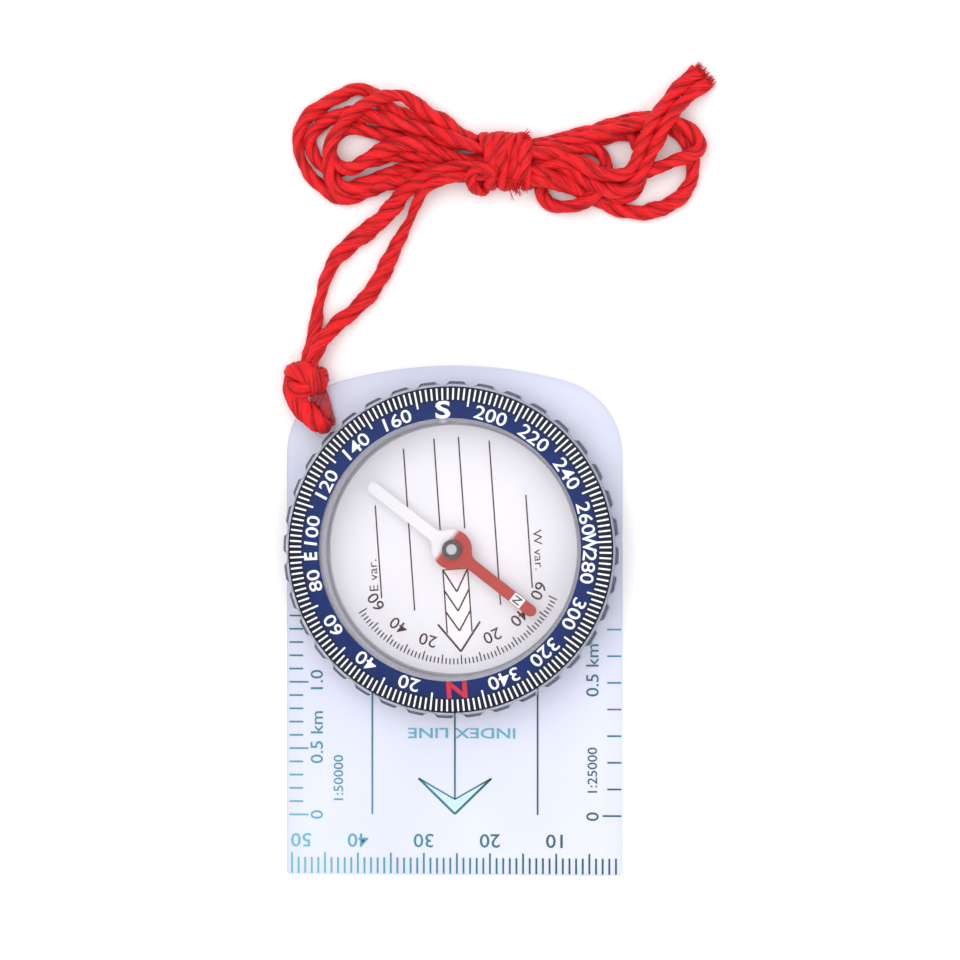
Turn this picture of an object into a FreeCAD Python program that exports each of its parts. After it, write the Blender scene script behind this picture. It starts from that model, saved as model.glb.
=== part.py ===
import FreeCAD, Part

import math
import os
import re

import Sketcher

# A baseplate compass, in millimetres.
#
# The origin is the middle of the baseplate's footprint, on its underside. +Z points up through the
# dial, and the plate's direction-of-travel arrow points along -Y. The dial and its capsule turn about
# the dial axis, a vertical line through (0, dial_axis_y), and the needle swings about the same line.
#
# Every sub-part of the dial is drawn about its own origin as if the dial axis were the Z axis, and its
# Placement then moves it onto the axis and turns it to the bearing that it shows at rest.

DIMENSIONS = {
    # baseplate
    "plate_width": 50.6,
    "plate_length": 76.5,
    "plate_thickness": 2.5,
    "plate_side_top": 24.9,  # where the straight sides end, from the plate's middle
    "plate_corner_radius": 11.5,
    "plate_bottom_corner": 0.4,
    "bevel_width": 2.5,
    "bevel_drop": 1.2,
    "dial_axis_y": 10.7,
    "plate_bore_radius": 21.3,
    "plate_shoulder_height": 1.2,
    "plate_recess_radius": 23.0,
    # lanyard hole, seen from the dial axis
    "hole_distance": 26.95,
    "hole_bearing": 136.8,
    "hole_radius": 1.65,
    # relief under the plate for the cord, from the hole to the plate's edge
    "relief_angle": 101.0,
    "relief_length": 9.0,
    "relief_width": 3.5,
    "relief_depth": 1.4,
    # friction ring, on the plate under the bezel's rim
    "friction_inner": 21.75,
    "friction_outer": 23.2,
    "friction_height": 0.44,
    # bezel
    "bezel_rest_angle": 2.9,
    "bezel_skirt_bottom": 0.3,
    "bezel_skirt_outer": 21.2,
    "bezel_bore": 20.25,
    "bezel_underside": 3.0,
    "bezel_rim_radius": 25.2,
    "bezel_rim_top": 6.1,
    "bezel_shoulder_radius": 24.75,
    "bezel_shoulder_top": 6.8,
    "bezel_lip_inner": 19.1,
    "bezel_lip_bottom": 7.2,
    "bezel_lip_top": 7.85,
    "scallop_count": 36,
    "scallop_radius": 1.25,
    "scallop_centre": 25.8,
    "scallop_edge_fillet": 0.3,
    # scale ring, on the bezel's sloped top
    "scale_inner": 19.65,
    "scale_outer": 24.4,
    "scale_inner_top": 7.75,
    "scale_outer_top": 6.75,
    "scale_thickness": 0.25,
    # retaining ring, in a groove of the bezel's skirt
    "groove_floor": 20.75,
    "groove_bottom": 0.48,
    "groove_top": 1.06,
    "retainer_inner": 20.8,
    "retainer_outer": 22.6,
    "retainer_bottom": 0.52,
    "retainer_top": 1.02,
    "retainer_gap": 3.0,
    # capsule
    "capsule_rest_angle": 4.0,
    "cup_outer": 20.2,
    "cup_inner": 19.0,
    "cup_bottom": 0.35,
    "cup_floor": 1.35,
    "cup_top": 6.3,
    "seal_inner": 19.35,
    "seal_outer": 19.85,
    "seal_depth": 0.4,
    "cover_edge_top": 7.75,
    "cover_dome_radius": 330.0,
    "plug_height": 4.2,
    "plug_radius": 0.7,
    "plug_clearance": 0.02,
    "disc_radius": 18.7,
    "disc_thickness": 0.15,
    "disc_hole": 1.7,
    # pivot
    "bush_radius": 1.5,
    "bush_height": 1.15,
    "bush_chamfer": 0.25,
    "pin_radius": 0.4,
    "pin_clearance": 0.02,
    "pin_bottom": 0.8,
    "pin_shoulder": 4.0,
    "pin_point": 4.8,
    # needle
    "needle_rest_angle": -37.8,
    "needle_reach": 15.8,
    "needle_width": 1.75,
    "needle_hub_radius": 3.0,
    "needle_hub_fillet": 1.6,
    "needle_bottom": 4.0,
    "needle_thickness": 0.35,
    "needle_hole": 1.1,
    "hub_sleeve_bottom": 3.7,
    "hub_flange_radius": 1.43,
    "hub_flange_top": 5.2,
    "hub_bore": 0.8,
    "jewel_bottom": 4.4,
    "jewel_top": 5.05,
    "jewel_cup_radius": 0.6,
    "jewel_cup_top": 4.86,
    # lanyard
    "cord_diameter": 2.2,
    "cord_flat_width": 3.1,
    "cord_flat_height": 1.2,
    "cord_floor_gap": 0.08,
    "under_leg_length": 6.6,
    "tail_width": 4.0,
    "knot_x": -22.1,
    "knot_y": 36.5,
    "knot_length": 7.0,
    "knot_width": 4.4,
    "knot_height": 4.8,
    "hank_height": 5.4,
    "hank_edge_radius": 1.2,
    "waist_left": 3.6,
    "waist_right": 12.2,
    "waist_y": 68.9,
    "waist_width": 6.4,
    "waist_bottom": 1.1,
    "waist_height": 3.4,
    "waist_overlap": 1.5,
    "wrap_thickness": 1.0,
    "wrap_edge_radius": 0.9,
}

# Routes of the free stretches of cord: from the knot over the plate and down its hole, from the knot
# to the hank, and from the hank to the cut ends.
LOOP_OVER = [
    (-23.7, 35.6, 3.0),
    (-22.9, 32.0, 4.1),
    (-19.65, 29.15, 4.5),
    (-19.65, 29.15, 1.28),
]
STRAND_LEFT = [
    (-22.8, 38.0, 2.3),
    (-20.9, 43.6, 1.6),
    (-20.2, 49.3, 1.2),
    (-18.3, 54.4, 1.2),
    (-14.3, 57.7, 1.2),
    (-10.2, 60.8, 1.4),
    (-6.6, 66.2, 2.0),
]
STRAND_RIGHT = [
    (-20.3, 37.6, 2.4),
    (-18.0, 44.0, 1.7),
    (-13.9, 47.6, 1.2),
    (-11.2, 51.2, 1.2),
    (-8.7, 56.6, 1.2),
    (-6.5, 60.2, 1.4),
    (-4.2, 66.4, 2.0),
]
TAIL = [
    (32.0, 74.6, 2.6),
    (32.9, 77.9, 2.3),
    (35.0, 80.3, 1.8),
    (37.6, 81.7, 1.4),
]

# Outer shapes of the hank's two bows, anticlockwise from the waist.
LEFT_BOW = [
    (3.4, 72.2),
    (-3.6, 76.4),
    (-8.6, 79.2),
    (-13.6, 80.1),
    (-19.8, 77.2),
    (-23.8, 74.0),
    (-23.4, 67.4),
    (-20.4, 64.6),
    (-16.6, 62.7),
    (-9.4, 65.3),
    (3.4, 65.6),
]
RIGHT_BOW = [
    (12.4, 65.6),
    (14.2, 62.6),
    (20.0, 61.2),
    (25.8, 60.2),
    (31.6, 61.0),
    (36.4, 65.2),
    (37.2, 70.6),
    (33.6, 74.4),
    (28.0, 75.8),
    (20.4, 74.4),
    (12.4, 72.2),
]

doc = FreeCAD.newDocument("baseplate_compass")


def make_sheet():
    """Fill the spreadsheet of driving dimensions, one named cell each."""
    sheet = doc.addObject("Spreadsheet::Sheet", "Dimensions")
    for row, (alias, value) in enumerate(DIMENSIONS.items(), start=1):
        sheet.set(f"A{row}", alias)
        sheet.set(f"B{row}", str(value))
        sheet.setAlias(f"B{row}", alias)
    doc.recompute()


make_sheet()
VERTICAL = FreeCAD.Vector(0, 0, 1)
SAME_PLACE = 1e-4  # coordinates closer than this are taken as equal, mm
FLARE_REACH = 0.1  # how far outside the hub's circle an arm's corner edge may stand, mm
RUN_SHARE = 0.45  # the part of a cord's run that the arc at either end may take
VOLUME_ERROR = 0.03  # how far a cord's volume may be from its section times its length


def sheet_terms(text):
    """An expression on the sheet's cells, from one that names them alone."""
    return re.sub(
        r"[a-z]+(_[a-z]+)+",
        lambda word: "Dimensions." + word.group(0),
        text,
    )


def bind(thing, **expressions):
    """Bind properties of an object to expressions on the sheet's cells."""
    for path, text in expressions.items():
        thing.setExpression(path.replace("__", "."), sheet_terms(text))


# ---------------------------------------------------------------- bodies, sketches and features


def new_body(name):
    body = doc.addObject("PartDesign::Body", name + "_body")
    body.Label = name
    return body


def origin_feature(body, role):
    """One of a body's own origin planes or axes, by its role."""
    return next(f for f in body.Origin.OriginFeatures if f.Role == role)


def new_sketch(body, name, plane="XY_Plane", height=None):
    """An empty sketch on one of the body's origin planes, raised by an expression."""
    sketch = body.newObject("Sketcher::SketchObject", name)
    sketch.AttachmentSupport = [(origin_feature(body, plane), "")]
    sketch.MapMode = "FlatFace"
    if height:
        sketch.setExpression("AttachmentOffset.Base.z", sheet_terms(height))
    return sketch


def set_coordinate(sketch, geometry, point, axis, text):
    """Hold one coordinate of a point at an expression on the sheet's cells."""
    kind = {"x": "DistanceX", "y": "DistanceY"}[axis]
    place = getattr(sketch.getPoint(geometry, point), axis)
    index = sketch.addConstraint(Sketcher.Constraint(kind, -1, 1, geometry, point, place))
    name = f"{axis}{geometry}_{point}"
    sketch.renameConstraint(index, name)
    sketch.setExpression(f"Constraints.{name}", sheet_terms(text))


def polygon(sketch, corners):
    """A closed polygon whose corners are pairs of expressions on the sheet's cells."""
    first = sketch.GeometryCount
    count = len(corners)
    starts = [
        FreeCAD.Vector(math.cos(math.tau * i / count), math.sin(math.tau * i / count), 0)
        for i in range(count)
    ]
    for i in range(count):
        sketch.addGeometry(Part.LineSegment(starts[i], starts[(i + 1) % count]))
    for i, (across, up) in enumerate(corners):
        line = first + i
        following = first + (i + 1) % count
        sketch.addConstraint(Sketcher.Constraint("Coincident", line, 2, following, 1))
        set_coordinate(sketch, line, 1, "x", across)
        set_coordinate(sketch, line, 1, "y", up)


def set_radius(sketch, geometry, text):
    """Hold the radius of a circle or an arc at an expression on the sheet's cells."""
    current = sketch.Geometry[geometry].Radius
    index = sketch.addConstraint(Sketcher.Constraint("Radius", geometry, current))
    sketch.renameConstraint(index, f"radius_{geometry}")
    sketch.setExpression(f"Constraints.radius_{geometry}", sheet_terms(text))


def circle(sketch, radius, centre=("0", "0")):
    """A circle whose radius and centre are expressions on the sheet's cells."""
    index = sketch.addGeometry(Part.Circle(FreeCAD.Vector(), VERTICAL, 1.0))
    set_radius(sketch, index, radius)
    set_coordinate(sketch, index, 3, "x", centre[0])
    set_coordinate(sketch, index, 3, "y", centre[1])


def slot(sketch, half_length, radius):
    """A round-ended slot along the sketch's first axis, centred on its origin.

    half_length is the distance from the origin to the centre of each end.
    """
    # A slot of any size, which the constraints then bring to its own.
    start = [FreeCAD.Vector(x, y, 0) for x, y in ((-5, -1), (5, -1), (5, 1), (-5, 1))]
    lower, right, upper, left = range(4)
    sketch.addGeometry(
        [
            Part.LineSegment(start[0], start[1]),
            Part.Arc(start[1], FreeCAD.Vector(6, 0, 0), start[2]),
            Part.LineSegment(start[2], start[3]),
            Part.Arc(start[3], FreeCAD.Vector(-6, 0, 0), start[0]),
        ]
    )
    for first, second in ((lower, right), (right, upper), (upper, left), (left, lower)):
        sketch.addConstraint(Sketcher.Constraint("Tangent", first, 2, second, 1))
    set_coordinate(sketch, right, 3, "x", half_length)
    set_coordinate(sketch, right, 3, "y", "0")
    set_coordinate(sketch, left, 3, "x", f"-({half_length})")
    set_coordinate(sketch, left, 3, "y", "0")
    set_radius(sketch, right, radius)
    set_radius(sketch, left, radius)


def pad(body, sketch, name, length):
    feature = body.newObject("PartDesign::Pad", name)
    feature.Profile = sketch
    bind(feature, Length=length)
    return feature


def pocket(body, sketch, name, length=None, upward=False, symmetric=False):
    """Cut a sketch's outline away, through everything unless a depth is given."""
    feature = body.newObject("PartDesign::Pocket", name)
    feature.Profile = sketch
    if length:
        bind(feature, Length=length)
    else:
        feature.Type = "ThroughAll"
    if symmetric:
        feature.SideType = "Symmetric"
    feature.Reversed = upward
    return feature


def revolved(body, name, corners):
    """A solid of revolution about Z, from the corners of half its section as (radius, height)."""
    sketch = new_sketch(body, name + "_section", "XZ_Plane")
    polygon(sketch, corners)
    feature = body.newObject("PartDesign::Revolution", name)
    feature.Profile = sketch
    feature.ReferenceAxis = (sketch, ["V_Axis"])
    feature.Angle = 360
    return feature


def edges_where(feature, test):
    """Names of a feature's edges that pass a test on the edge."""
    doc.recompute()
    return [f"Edge{i}" for i, edge in enumerate(feature.Shape.Edges, start=1) if test(edge)]


def fillet(body, name, base, test, radius):
    feature = body.newObject("PartDesign::Fillet", name)
    feature.Base = (base, edges_where(base, test))
    bind(feature, Radius=radius)
    return feature


def is_vertical(edge):
    """True for a straight edge along Z."""
    return (
        edge.Curve.TypeId == "Part::GeomLine"
        and abs(edge.BoundBox.XLength) < SAME_PLACE
        and abs(edge.BoundBox.YLength) < SAME_PLACE
    )


def at_height(edge, height):
    """True for an edge that lies in the level plane at a height."""
    box = edge.BoundBox
    return abs(box.ZMin - height) < SAME_PLACE and abs(box.ZMax - height) < SAME_PLACE


def on_dial_axis(thing, rest_angle=None):
    """Place a sub-part drawn about Z onto the dial axis, turned to its angle at rest."""
    bind(thing, Placement__Base__y="dial_axis_y")
    if rest_angle:
        bind(thing, Placement__Rotation__Angle=rest_angle)


# ---------------------------------------------------------------- baseplate


def plate_outline(sketch):
    """Straight sides and bottom, with a crowned top that runs into the sides by two equal arcs."""
    half = DIMENSIONS["plate_width"] / 2
    top = DIMENSIONS["plate_length"] / 2
    side_top = DIMENSIONS["plate_side_top"]
    corner = DIMENSIONS["plate_corner_radius"]
    # The crown touches both corner arcs and passes through the middle of the plate's top.
    across = half - corner
    rise = top - side_top
    crown = (across**2 + rise**2 - corner**2) / (2 * (rise - corner))
    crown_centre = FreeCAD.Vector(0, top - crown, 0)
    right_centre = FreeCAD.Vector(across, side_top, 0)
    left_centre = FreeCAD.Vector(-across, side_top, 0)
    outward = (right_centre - crown_centre).normalize()
    lean = math.atan2(outward.y, outward.x)
    right_touch = right_centre + outward * corner
    left_touch = FreeCAD.Vector(-right_touch.x, right_touch.y, 0)
    bottom_left = FreeCAD.Vector(-half, -top, 0)
    bottom_right = FreeCAD.Vector(half, -top, 0)
    side_left = FreeCAD.Vector(-half, side_top, 0)
    side_right = FreeCAD.Vector(half, side_top, 0)

    def on_arc(centre, angle):
        return centre + FreeCAD.Vector(math.cos(angle), math.sin(angle), 0) * corner

    left, bottom, right, right_arc, crown_arc, left_arc, crown_top = range(7)
    sketch.addGeometry(
        [
            Part.LineSegment(side_left, bottom_left),
            Part.LineSegment(bottom_left, bottom_right),
            Part.LineSegment(bottom_right, side_right),
            Part.Arc(side_right, on_arc(right_centre, lean / 2), right_touch),
            Part.Arc(right_touch, FreeCAD.Vector(0, top, 0), left_touch),
            Part.Arc(left_touch, on_arc(left_centre, math.pi - lean / 2), side_left),
            Part.Point(FreeCAD.Vector(0, top, 0)),
        ]
    )
    sketch.setConstruction(crown_top, True)
    sketch.addConstraint(Sketcher.Constraint("PointOnObject", crown_top, 1, crown_arc))
    for first, second in ((left, bottom), (bottom, right)):
        sketch.addConstraint(Sketcher.Constraint("Coincident", first, 2, second, 1))
    smooth = ((right, right_arc), (right_arc, crown_arc), (crown_arc, left_arc), (left_arc, left))
    for first, second in smooth:
        sketch.addConstraint(Sketcher.Constraint("Tangent", first, 2, second, 1))
    set_coordinate(sketch, left, 1, "x", "-plate_width / 2")
    set_coordinate(sketch, left, 1, "y", "plate_side_top")
    set_coordinate(sketch, bottom, 1, "x", "-plate_width / 2")
    set_coordinate(sketch, bottom, 1, "y", "-plate_length / 2")
    set_coordinate(sketch, right, 1, "x", "plate_width / 2")
    set_coordinate(sketch, right, 1, "y", "-plate_length / 2")
    set_coordinate(sketch, right, 2, "x", "plate_width / 2")
    set_coordinate(sketch, right, 2, "y", "plate_side_top")
    set_coordinate(sketch, crown_top, 1, "x", "0")
    set_coordinate(sketch, crown_top, 1, "y", "plate_length / 2")
    set_radius(sketch, right_arc, "plate_corner_radius")
    set_radius(sketch, left_arc, "plate_corner_radius")


def bevel(body, name, plane, half_extent, side):
    """Cut the sloping ruler edge along one side of the plate. side is + or -."""
    sketch = new_sketch(body, name + "_section", plane)
    inner = f"{side}({half_extent} - bevel_width)"
    outer = f"{side}({half_extent} + bevel_width)"
    foot = "plate_thickness - bevel_drop"
    above = "plate_thickness + bevel_drop"
    polygon(
        sketch,
        [
            (inner, "plate_thickness"),
            (f"{side}({half_extent})", foot),
            (outer, foot),
            (outer, above),
            (inner, above),
        ],
    )
    pocket(body, sketch, name, symmetric=True)


def strip(start, angle, length, width):
    """Corners of a straight strip in the plane, from expressions for its start, angle and size."""
    along = (f"cos({angle} * 1 deg)", f"sin({angle} * 1 deg)")
    corners = []
    for reach, side in (("0", "-"), (length, "-"), (length, "+"), ("0", "+")):
        corners.append(
            (
                f"{start[0]} + {reach} * {along[0]} {side} {width} / 2 * {along[1]} * -1",
                f"{start[1]} + {reach} * {along[1]} {side} {width} / 2 * {along[0]}",
            )
        )
    return corners


HOLE = (
    "hole_distance * cos(hole_bearing * 1 deg)",
    "dial_axis_y + hole_distance * sin(hole_bearing * 1 deg)",
)


def make_baseplate():
    body = new_body("baseplate")
    outline = new_sketch(body, "plate_outline")
    plate_outline(outline)
    plate = pad(body, outline, "plate", "plate_thickness")
    bottom_line = -DIMENSIONS["plate_length"] / 2
    fillet(
        body,
        "plate_corners",
        plate,
        lambda edge: is_vertical(edge) and abs(edge.BoundBox.YMin - bottom_line) < SAME_PLACE,
        "plate_bottom_corner",
    )
    bore = new_sketch(body, "bore_circle")
    circle(bore, "plate_bore_radius", ("0", "dial_axis_y"))
    pocket(body, bore, "dial_bore", upward=True)
    recess = new_sketch(body, "recess_circle")
    circle(recess, "plate_recess_radius", ("0", "dial_axis_y"))
    pocket(body, recess, "retainer_recess", "plate_shoulder_height", upward=True)
    hole = new_sketch(body, "hole_circle")
    circle(hole, "hole_radius", HOLE)
    pocket(body, hole, "lanyard_hole", upward=True)
    relief = new_sketch(body, "relief_strip")
    polygon(relief, strip(HOLE, "relief_angle", "relief_length", "relief_width"))
    pocket(body, relief, "lanyard_relief", "relief_depth", upward=True)
    bevel(body, "right_bevel", "XZ_Plane", "plate_width / 2", "+")
    bevel(body, "left_bevel", "XZ_Plane", "plate_width / 2", "-")
    bevel(body, "bottom_bevel", "YZ_Plane", "plate_length / 2", "-")
    return body


def make_friction_ring():
    body = new_body("friction_ring")
    top = "plate_thickness + friction_height"
    revolved(
        body,
        "friction_ring",
        [
            ("friction_inner", "plate_thickness"),
            ("friction_outer", "plate_thickness"),
            ("friction_outer", top),
            ("friction_inner", top),
        ],
    )
    on_dial_axis(body)
    return body


# ---------------------------------------------------------------- dial


def make_bezel():
    """Clear housing: a skirt that runs in the plate's bore, under a rim with finger scallops."""
    body = new_body("bezel")
    scale_floor_inner = "scale_inner_top - scale_thickness"
    scale_floor_outer = "scale_outer_top - scale_thickness"
    housing = revolved(
        body,
        "housing",
        [
            ("bezel_bore", "bezel_skirt_bottom"),
            ("bezel_skirt_outer", "bezel_skirt_bottom"),
            ("bezel_skirt_outer", "groove_bottom"),
            ("groove_floor", "groove_bottom"),
            ("groove_floor", "groove_top"),
            ("bezel_skirt_outer", "groove_top"),
            ("bezel_skirt_outer", "bezel_underside"),
            ("bezel_rim_radius", "bezel_underside"),
            ("bezel_rim_radius", "bezel_rim_top"),
            ("bezel_shoulder_radius", "bezel_shoulder_top"),
            ("scale_outer", "bezel_shoulder_top"),
            ("scale_outer", scale_floor_outer),
            ("scale_inner", scale_floor_inner),
            ("scale_inner", "bezel_lip_top"),
            ("bezel_lip_inner", "bezel_lip_top"),
            ("bezel_lip_inner", "bezel_lip_bottom"),
            ("bezel_bore", "bezel_lip_bottom"),
        ],
    )
    doc.recompute()
    notch = new_sketch(body, "scallop_circle", height="bezel_underside")
    circle(notch, "scallop_radius", ("scallop_centre", "0"))
    scallop = pocket(body, notch, "scallop", upward=True)
    doc.recompute()
    if scallop.Shape.Volume >= housing.Shape.Volume:
        raise RuntimeError("the scallop cuts nothing")
    scallops = body.newObject("PartDesign::PolarPattern", "scallops")
    scallops.Originals = [scallop]
    scallops.Axis = (origin_feature(body, "Z_Axis"), [""])
    scallops.Angle = 360
    bind(scallops, Occurrences="scallop_count")
    body.Tip = scallops
    fillet(body, "scallop_edges", scallops, is_vertical, "scallop_edge_fillet")
    on_dial_axis(body, "bezel_rest_angle")
    return body


def make_scale_ring():
    """Conical graduated ring that lies in the recess of the bezel's sloped top."""
    body = new_body("scale_ring")
    revolved(
        body,
        "scale_band",
        [
            ("scale_inner", "scale_inner_top - scale_thickness"),
            ("scale_outer", "scale_outer_top - scale_thickness"),
            ("scale_outer", "scale_outer_top"),
            ("scale_inner", "scale_inner_top"),
        ],
    )
    on_dial_axis(body, "bezel_rest_angle")
    return body


def make_retaining_ring():
    """Snap ring in the skirt's groove, split so that it can be sprung on under the plate."""
    body = new_body("retaining_ring")
    revolved(
        body,
        "snap_ring",
        [
            ("retainer_inner", "retainer_bottom"),
            ("retainer_outer", "retainer_bottom"),
            ("retainer_outer", "retainer_top"),
            ("retainer_inner", "retainer_top"),
        ],
    )
    split = new_sketch(body, "split_gap")
    polygon(
        split,
        [
            ("retainer_inner / 2", "-retainer_gap / 2"),
            ("retainer_outer + retainer_gap", "-retainer_gap / 2"),
            ("retainer_outer + retainer_gap", "retainer_gap / 2"),
            ("retainer_inner / 2", "retainer_gap / 2"),
        ],
    )
    pocket(body, split, "ring_split", upward=True)
    on_dial_axis(body, "bezel_rest_angle")
    return body


def make_capsule_cup():
    """Clear cup with a blind hole for the pivot pin, a seal groove and a filling hole in its wall."""
    body = new_body("capsule_cup")
    revolved(
        body,
        "cup",
        [
            ("0", "cup_bottom"),
            ("cup_outer", "cup_bottom"),
            ("cup_outer", "cup_top"),
            ("seal_outer", "cup_top"),
            ("seal_outer", "cup_top - seal_depth"),
            ("seal_inner", "cup_top - seal_depth"),
            ("seal_inner", "cup_top"),
            ("cup_inner", "cup_top"),
            ("cup_inner", "cup_floor"),
            ("pin_radius + pin_clearance", "cup_floor"),
            ("pin_radius + pin_clearance", "pin_bottom - pin_clearance"),
            ("0", "pin_bottom - pin_clearance"),
        ],
    )
    filler = new_sketch(body, "filler_circle", "XZ_Plane")
    circle(filler, "plug_radius", ("0", "plug_height"))
    pocket(body, filler, "filling_hole")
    on_dial_axis(body, "capsule_rest_angle")
    return body


def make_capsule_seal():
    body = new_body("capsule_seal")
    revolved(
        body,
        "seal",
        [
            ("seal_inner", "cup_top - seal_depth"),
            ("seal_outer", "cup_top - seal_depth"),
            ("seal_outer", "cup_top"),
            ("seal_inner", "cup_top"),
        ],
    )
    on_dial_axis(body, "capsule_rest_angle")
    return body


def make_capsule_cover():
    """Slightly domed clear lens: a disc whose top is part of a large sphere."""
    disc = doc.addObject("Part::Cylinder", "cover_disc")
    bind(
        disc,
        Radius="cup_outer",
        Height="cover_edge_top - cup_top",
        Placement__Base__z="cup_top",
        Placement__Base__y="dial_axis_y",
    )
    dome = doc.addObject("Part::Sphere", "cover_dome")
    bind(
        dome,
        Radius="cover_dome_radius",
        Placement__Base__z="cover_edge_top - cover_dome_radius",
        Placement__Base__y="dial_axis_y",
    )
    cover = doc.addObject("Part::Common", "cover_lens")
    cover.Base = disc
    cover.Tool = dome
    cover.Label = "capsule_cover"
    return cover


def make_filler_plug():
    """Small plug in the cup's wall, on the side away from the north mark."""
    plug = doc.addObject("Part::Cylinder", "wall_plug")
    plug.Label = "filler_plug"
    bind(
        plug,
        Radius="plug_radius - plug_clearance",
        Height="cup_outer - cup_inner - plug_clearance * 2",
    )
    turn = FreeCAD.Rotation(VERTICAL, DIMENSIONS["capsule_rest_angle"])
    outward = turn.multVec(FreeCAD.Vector(0, 1, 0))
    axis_point = FreeCAD.Vector(0, DIMENSIONS["dial_axis_y"], DIMENSIONS["plug_height"])
    inner_end = axis_point + outward * DIMENSIONS["cup_inner"]
    plug.Placement = FreeCAD.Placement(inner_end, FreeCAD.Rotation(VERTICAL, outward))
    return plug


def make_orienting_disc():
    """Thin printed disc on the capsule's floor, with a hole for the pivot's bush."""
    body = new_body("orienting_disc")
    top = "cup_floor + disc_thickness"
    revolved(
        body,
        "printed_disc",
        [
            ("disc_hole", "cup_floor"),
            ("disc_radius", "cup_floor"),
            ("disc_radius", top),
            ("disc_hole", top),
        ],
    )
    on_dial_axis(body, "capsule_rest_angle")
    return body


def make_pivot_bush():
    body = new_body("pivot_bush")
    top = "cup_floor + bush_height"
    bore = "pin_radius + pin_clearance"
    revolved(
        body,
        "bush",
        [
            (bore, "cup_floor"),
            ("bush_radius", "cup_floor"),
            ("bush_radius", f"{top} - bush_chamfer"),
            ("bush_radius - bush_chamfer", top),
            (bore, top),
        ],
    )
    on_dial_axis(body, "capsule_rest_angle")
    return body


def make_pivot_pin():
    body = new_body("pivot_pin")
    revolved(
        body,
        "pin",
        [
            ("0", "pin_bottom"),
            ("pin_radius", "pin_bottom"),
            ("pin_radius", "pin_shoulder"),
            ("0", "pin_point"),
        ],
    )
    on_dial_axis(body, "capsule_rest_angle")
    return body


# ---------------------------------------------------------------- needle


def make_needle_blade():
    """Flat blade with two equal round-ended arms that flare into a disc at the hub."""
    body = new_body("needle_blade")
    disc = new_sketch(body, "hub_circle", height="needle_bottom")
    circle(disc, "needle_hub_radius")
    pad(body, disc, "hub_disc", "needle_thickness")
    arms = new_sketch(body, "arms_outline", height="needle_bottom")
    slot(arms, "needle_reach - needle_width / 2", "needle_width / 2")
    bar = pad(body, arms, "arms", "needle_thickness")
    hub_radius = DIMENSIONS["needle_hub_radius"]

    def meets_hub(edge):
        foot = edge.Vertexes[0].Point
        return is_vertical(edge) and math.hypot(foot.x, foot.y) < hub_radius + FLARE_REACH

    fillet(body, "arm_flares", bar, meets_hub, "needle_hub_fillet")
    hole = new_sketch(body, "hub_hole_circle", height="needle_bottom")
    circle(hole, "needle_hole")
    pocket(body, hole, "hub_hole", upward=True)
    on_dial_axis(body, "needle_rest_angle")
    return body


def make_needle_cap():
    """Black hub: a sleeve through the blade's hole under a flange that rests on the blade."""
    body = new_body("needle_cap")
    blade_top = "needle_bottom + needle_thickness"
    revolved(
        body,
        "hub_sleeve",
        [
            ("hub_bore", "hub_sleeve_bottom"),
            ("needle_hole", "hub_sleeve_bottom"),
            ("needle_hole", blade_top),
            ("hub_flange_radius", blade_top),
            ("hub_flange_radius", "hub_flange_top"),
            ("hub_bore", "hub_flange_top"),
        ],
    )
    on_dial_axis(body, "needle_rest_angle")
    return body


def make_jewel_bearing():
    """Jewel whose conical cup, open downward, sits over the pivot's point."""
    body = new_body("jewel_bearing")
    revolved(
        body,
        "jewel",
        [
            ("jewel_cup_radius", "jewel_bottom"),
            ("hub_bore", "jewel_bottom"),
            ("hub_bore", "jewel_top"),
            ("0", "jewel_top"),
            ("0", "jewel_cup_top"),
        ],
    )
    on_dial_axis(body, "needle_rest_angle")
    return body


# ---------------------------------------------------------------- lanyard


def rounded_path(points):
    """Straight runs joined by tangent arcs, as large as the runs beside them allow.

    Returns the wire and the arcs' radii.
    """
    corners = [FreeCAD.Vector(*point) for point in points]
    edges = []
    radii = []
    start = corners[0]
    for before, corner, after in zip(corners, corners[1:], corners[2:]):
        inward = (corner - before).normalize()
        onward = (after - corner).normalize()
        half_turn = inward.getAngle(onward) / 2
        setback = RUN_SHARE * min((corner - before).Length, (after - corner).Length)
        radius = setback / math.tan(half_turn)
        arc_start = corner - inward * setback
        arc_end = corner + onward * setback
        to_centre = (onward - inward).normalize()
        middle = corner + to_centre * (radius / math.cos(half_turn) - radius)
        edges.append(Part.LineSegment(start, arc_start).toShape())
        edges.append(Part.Arc(arc_start, middle, arc_end).toShape())
        radii.append(radius)
        start = arc_end
    edges.append(Part.LineSegment(start, corners[-1]).toShape())
    return Part.Wire(edges), radii


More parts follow.
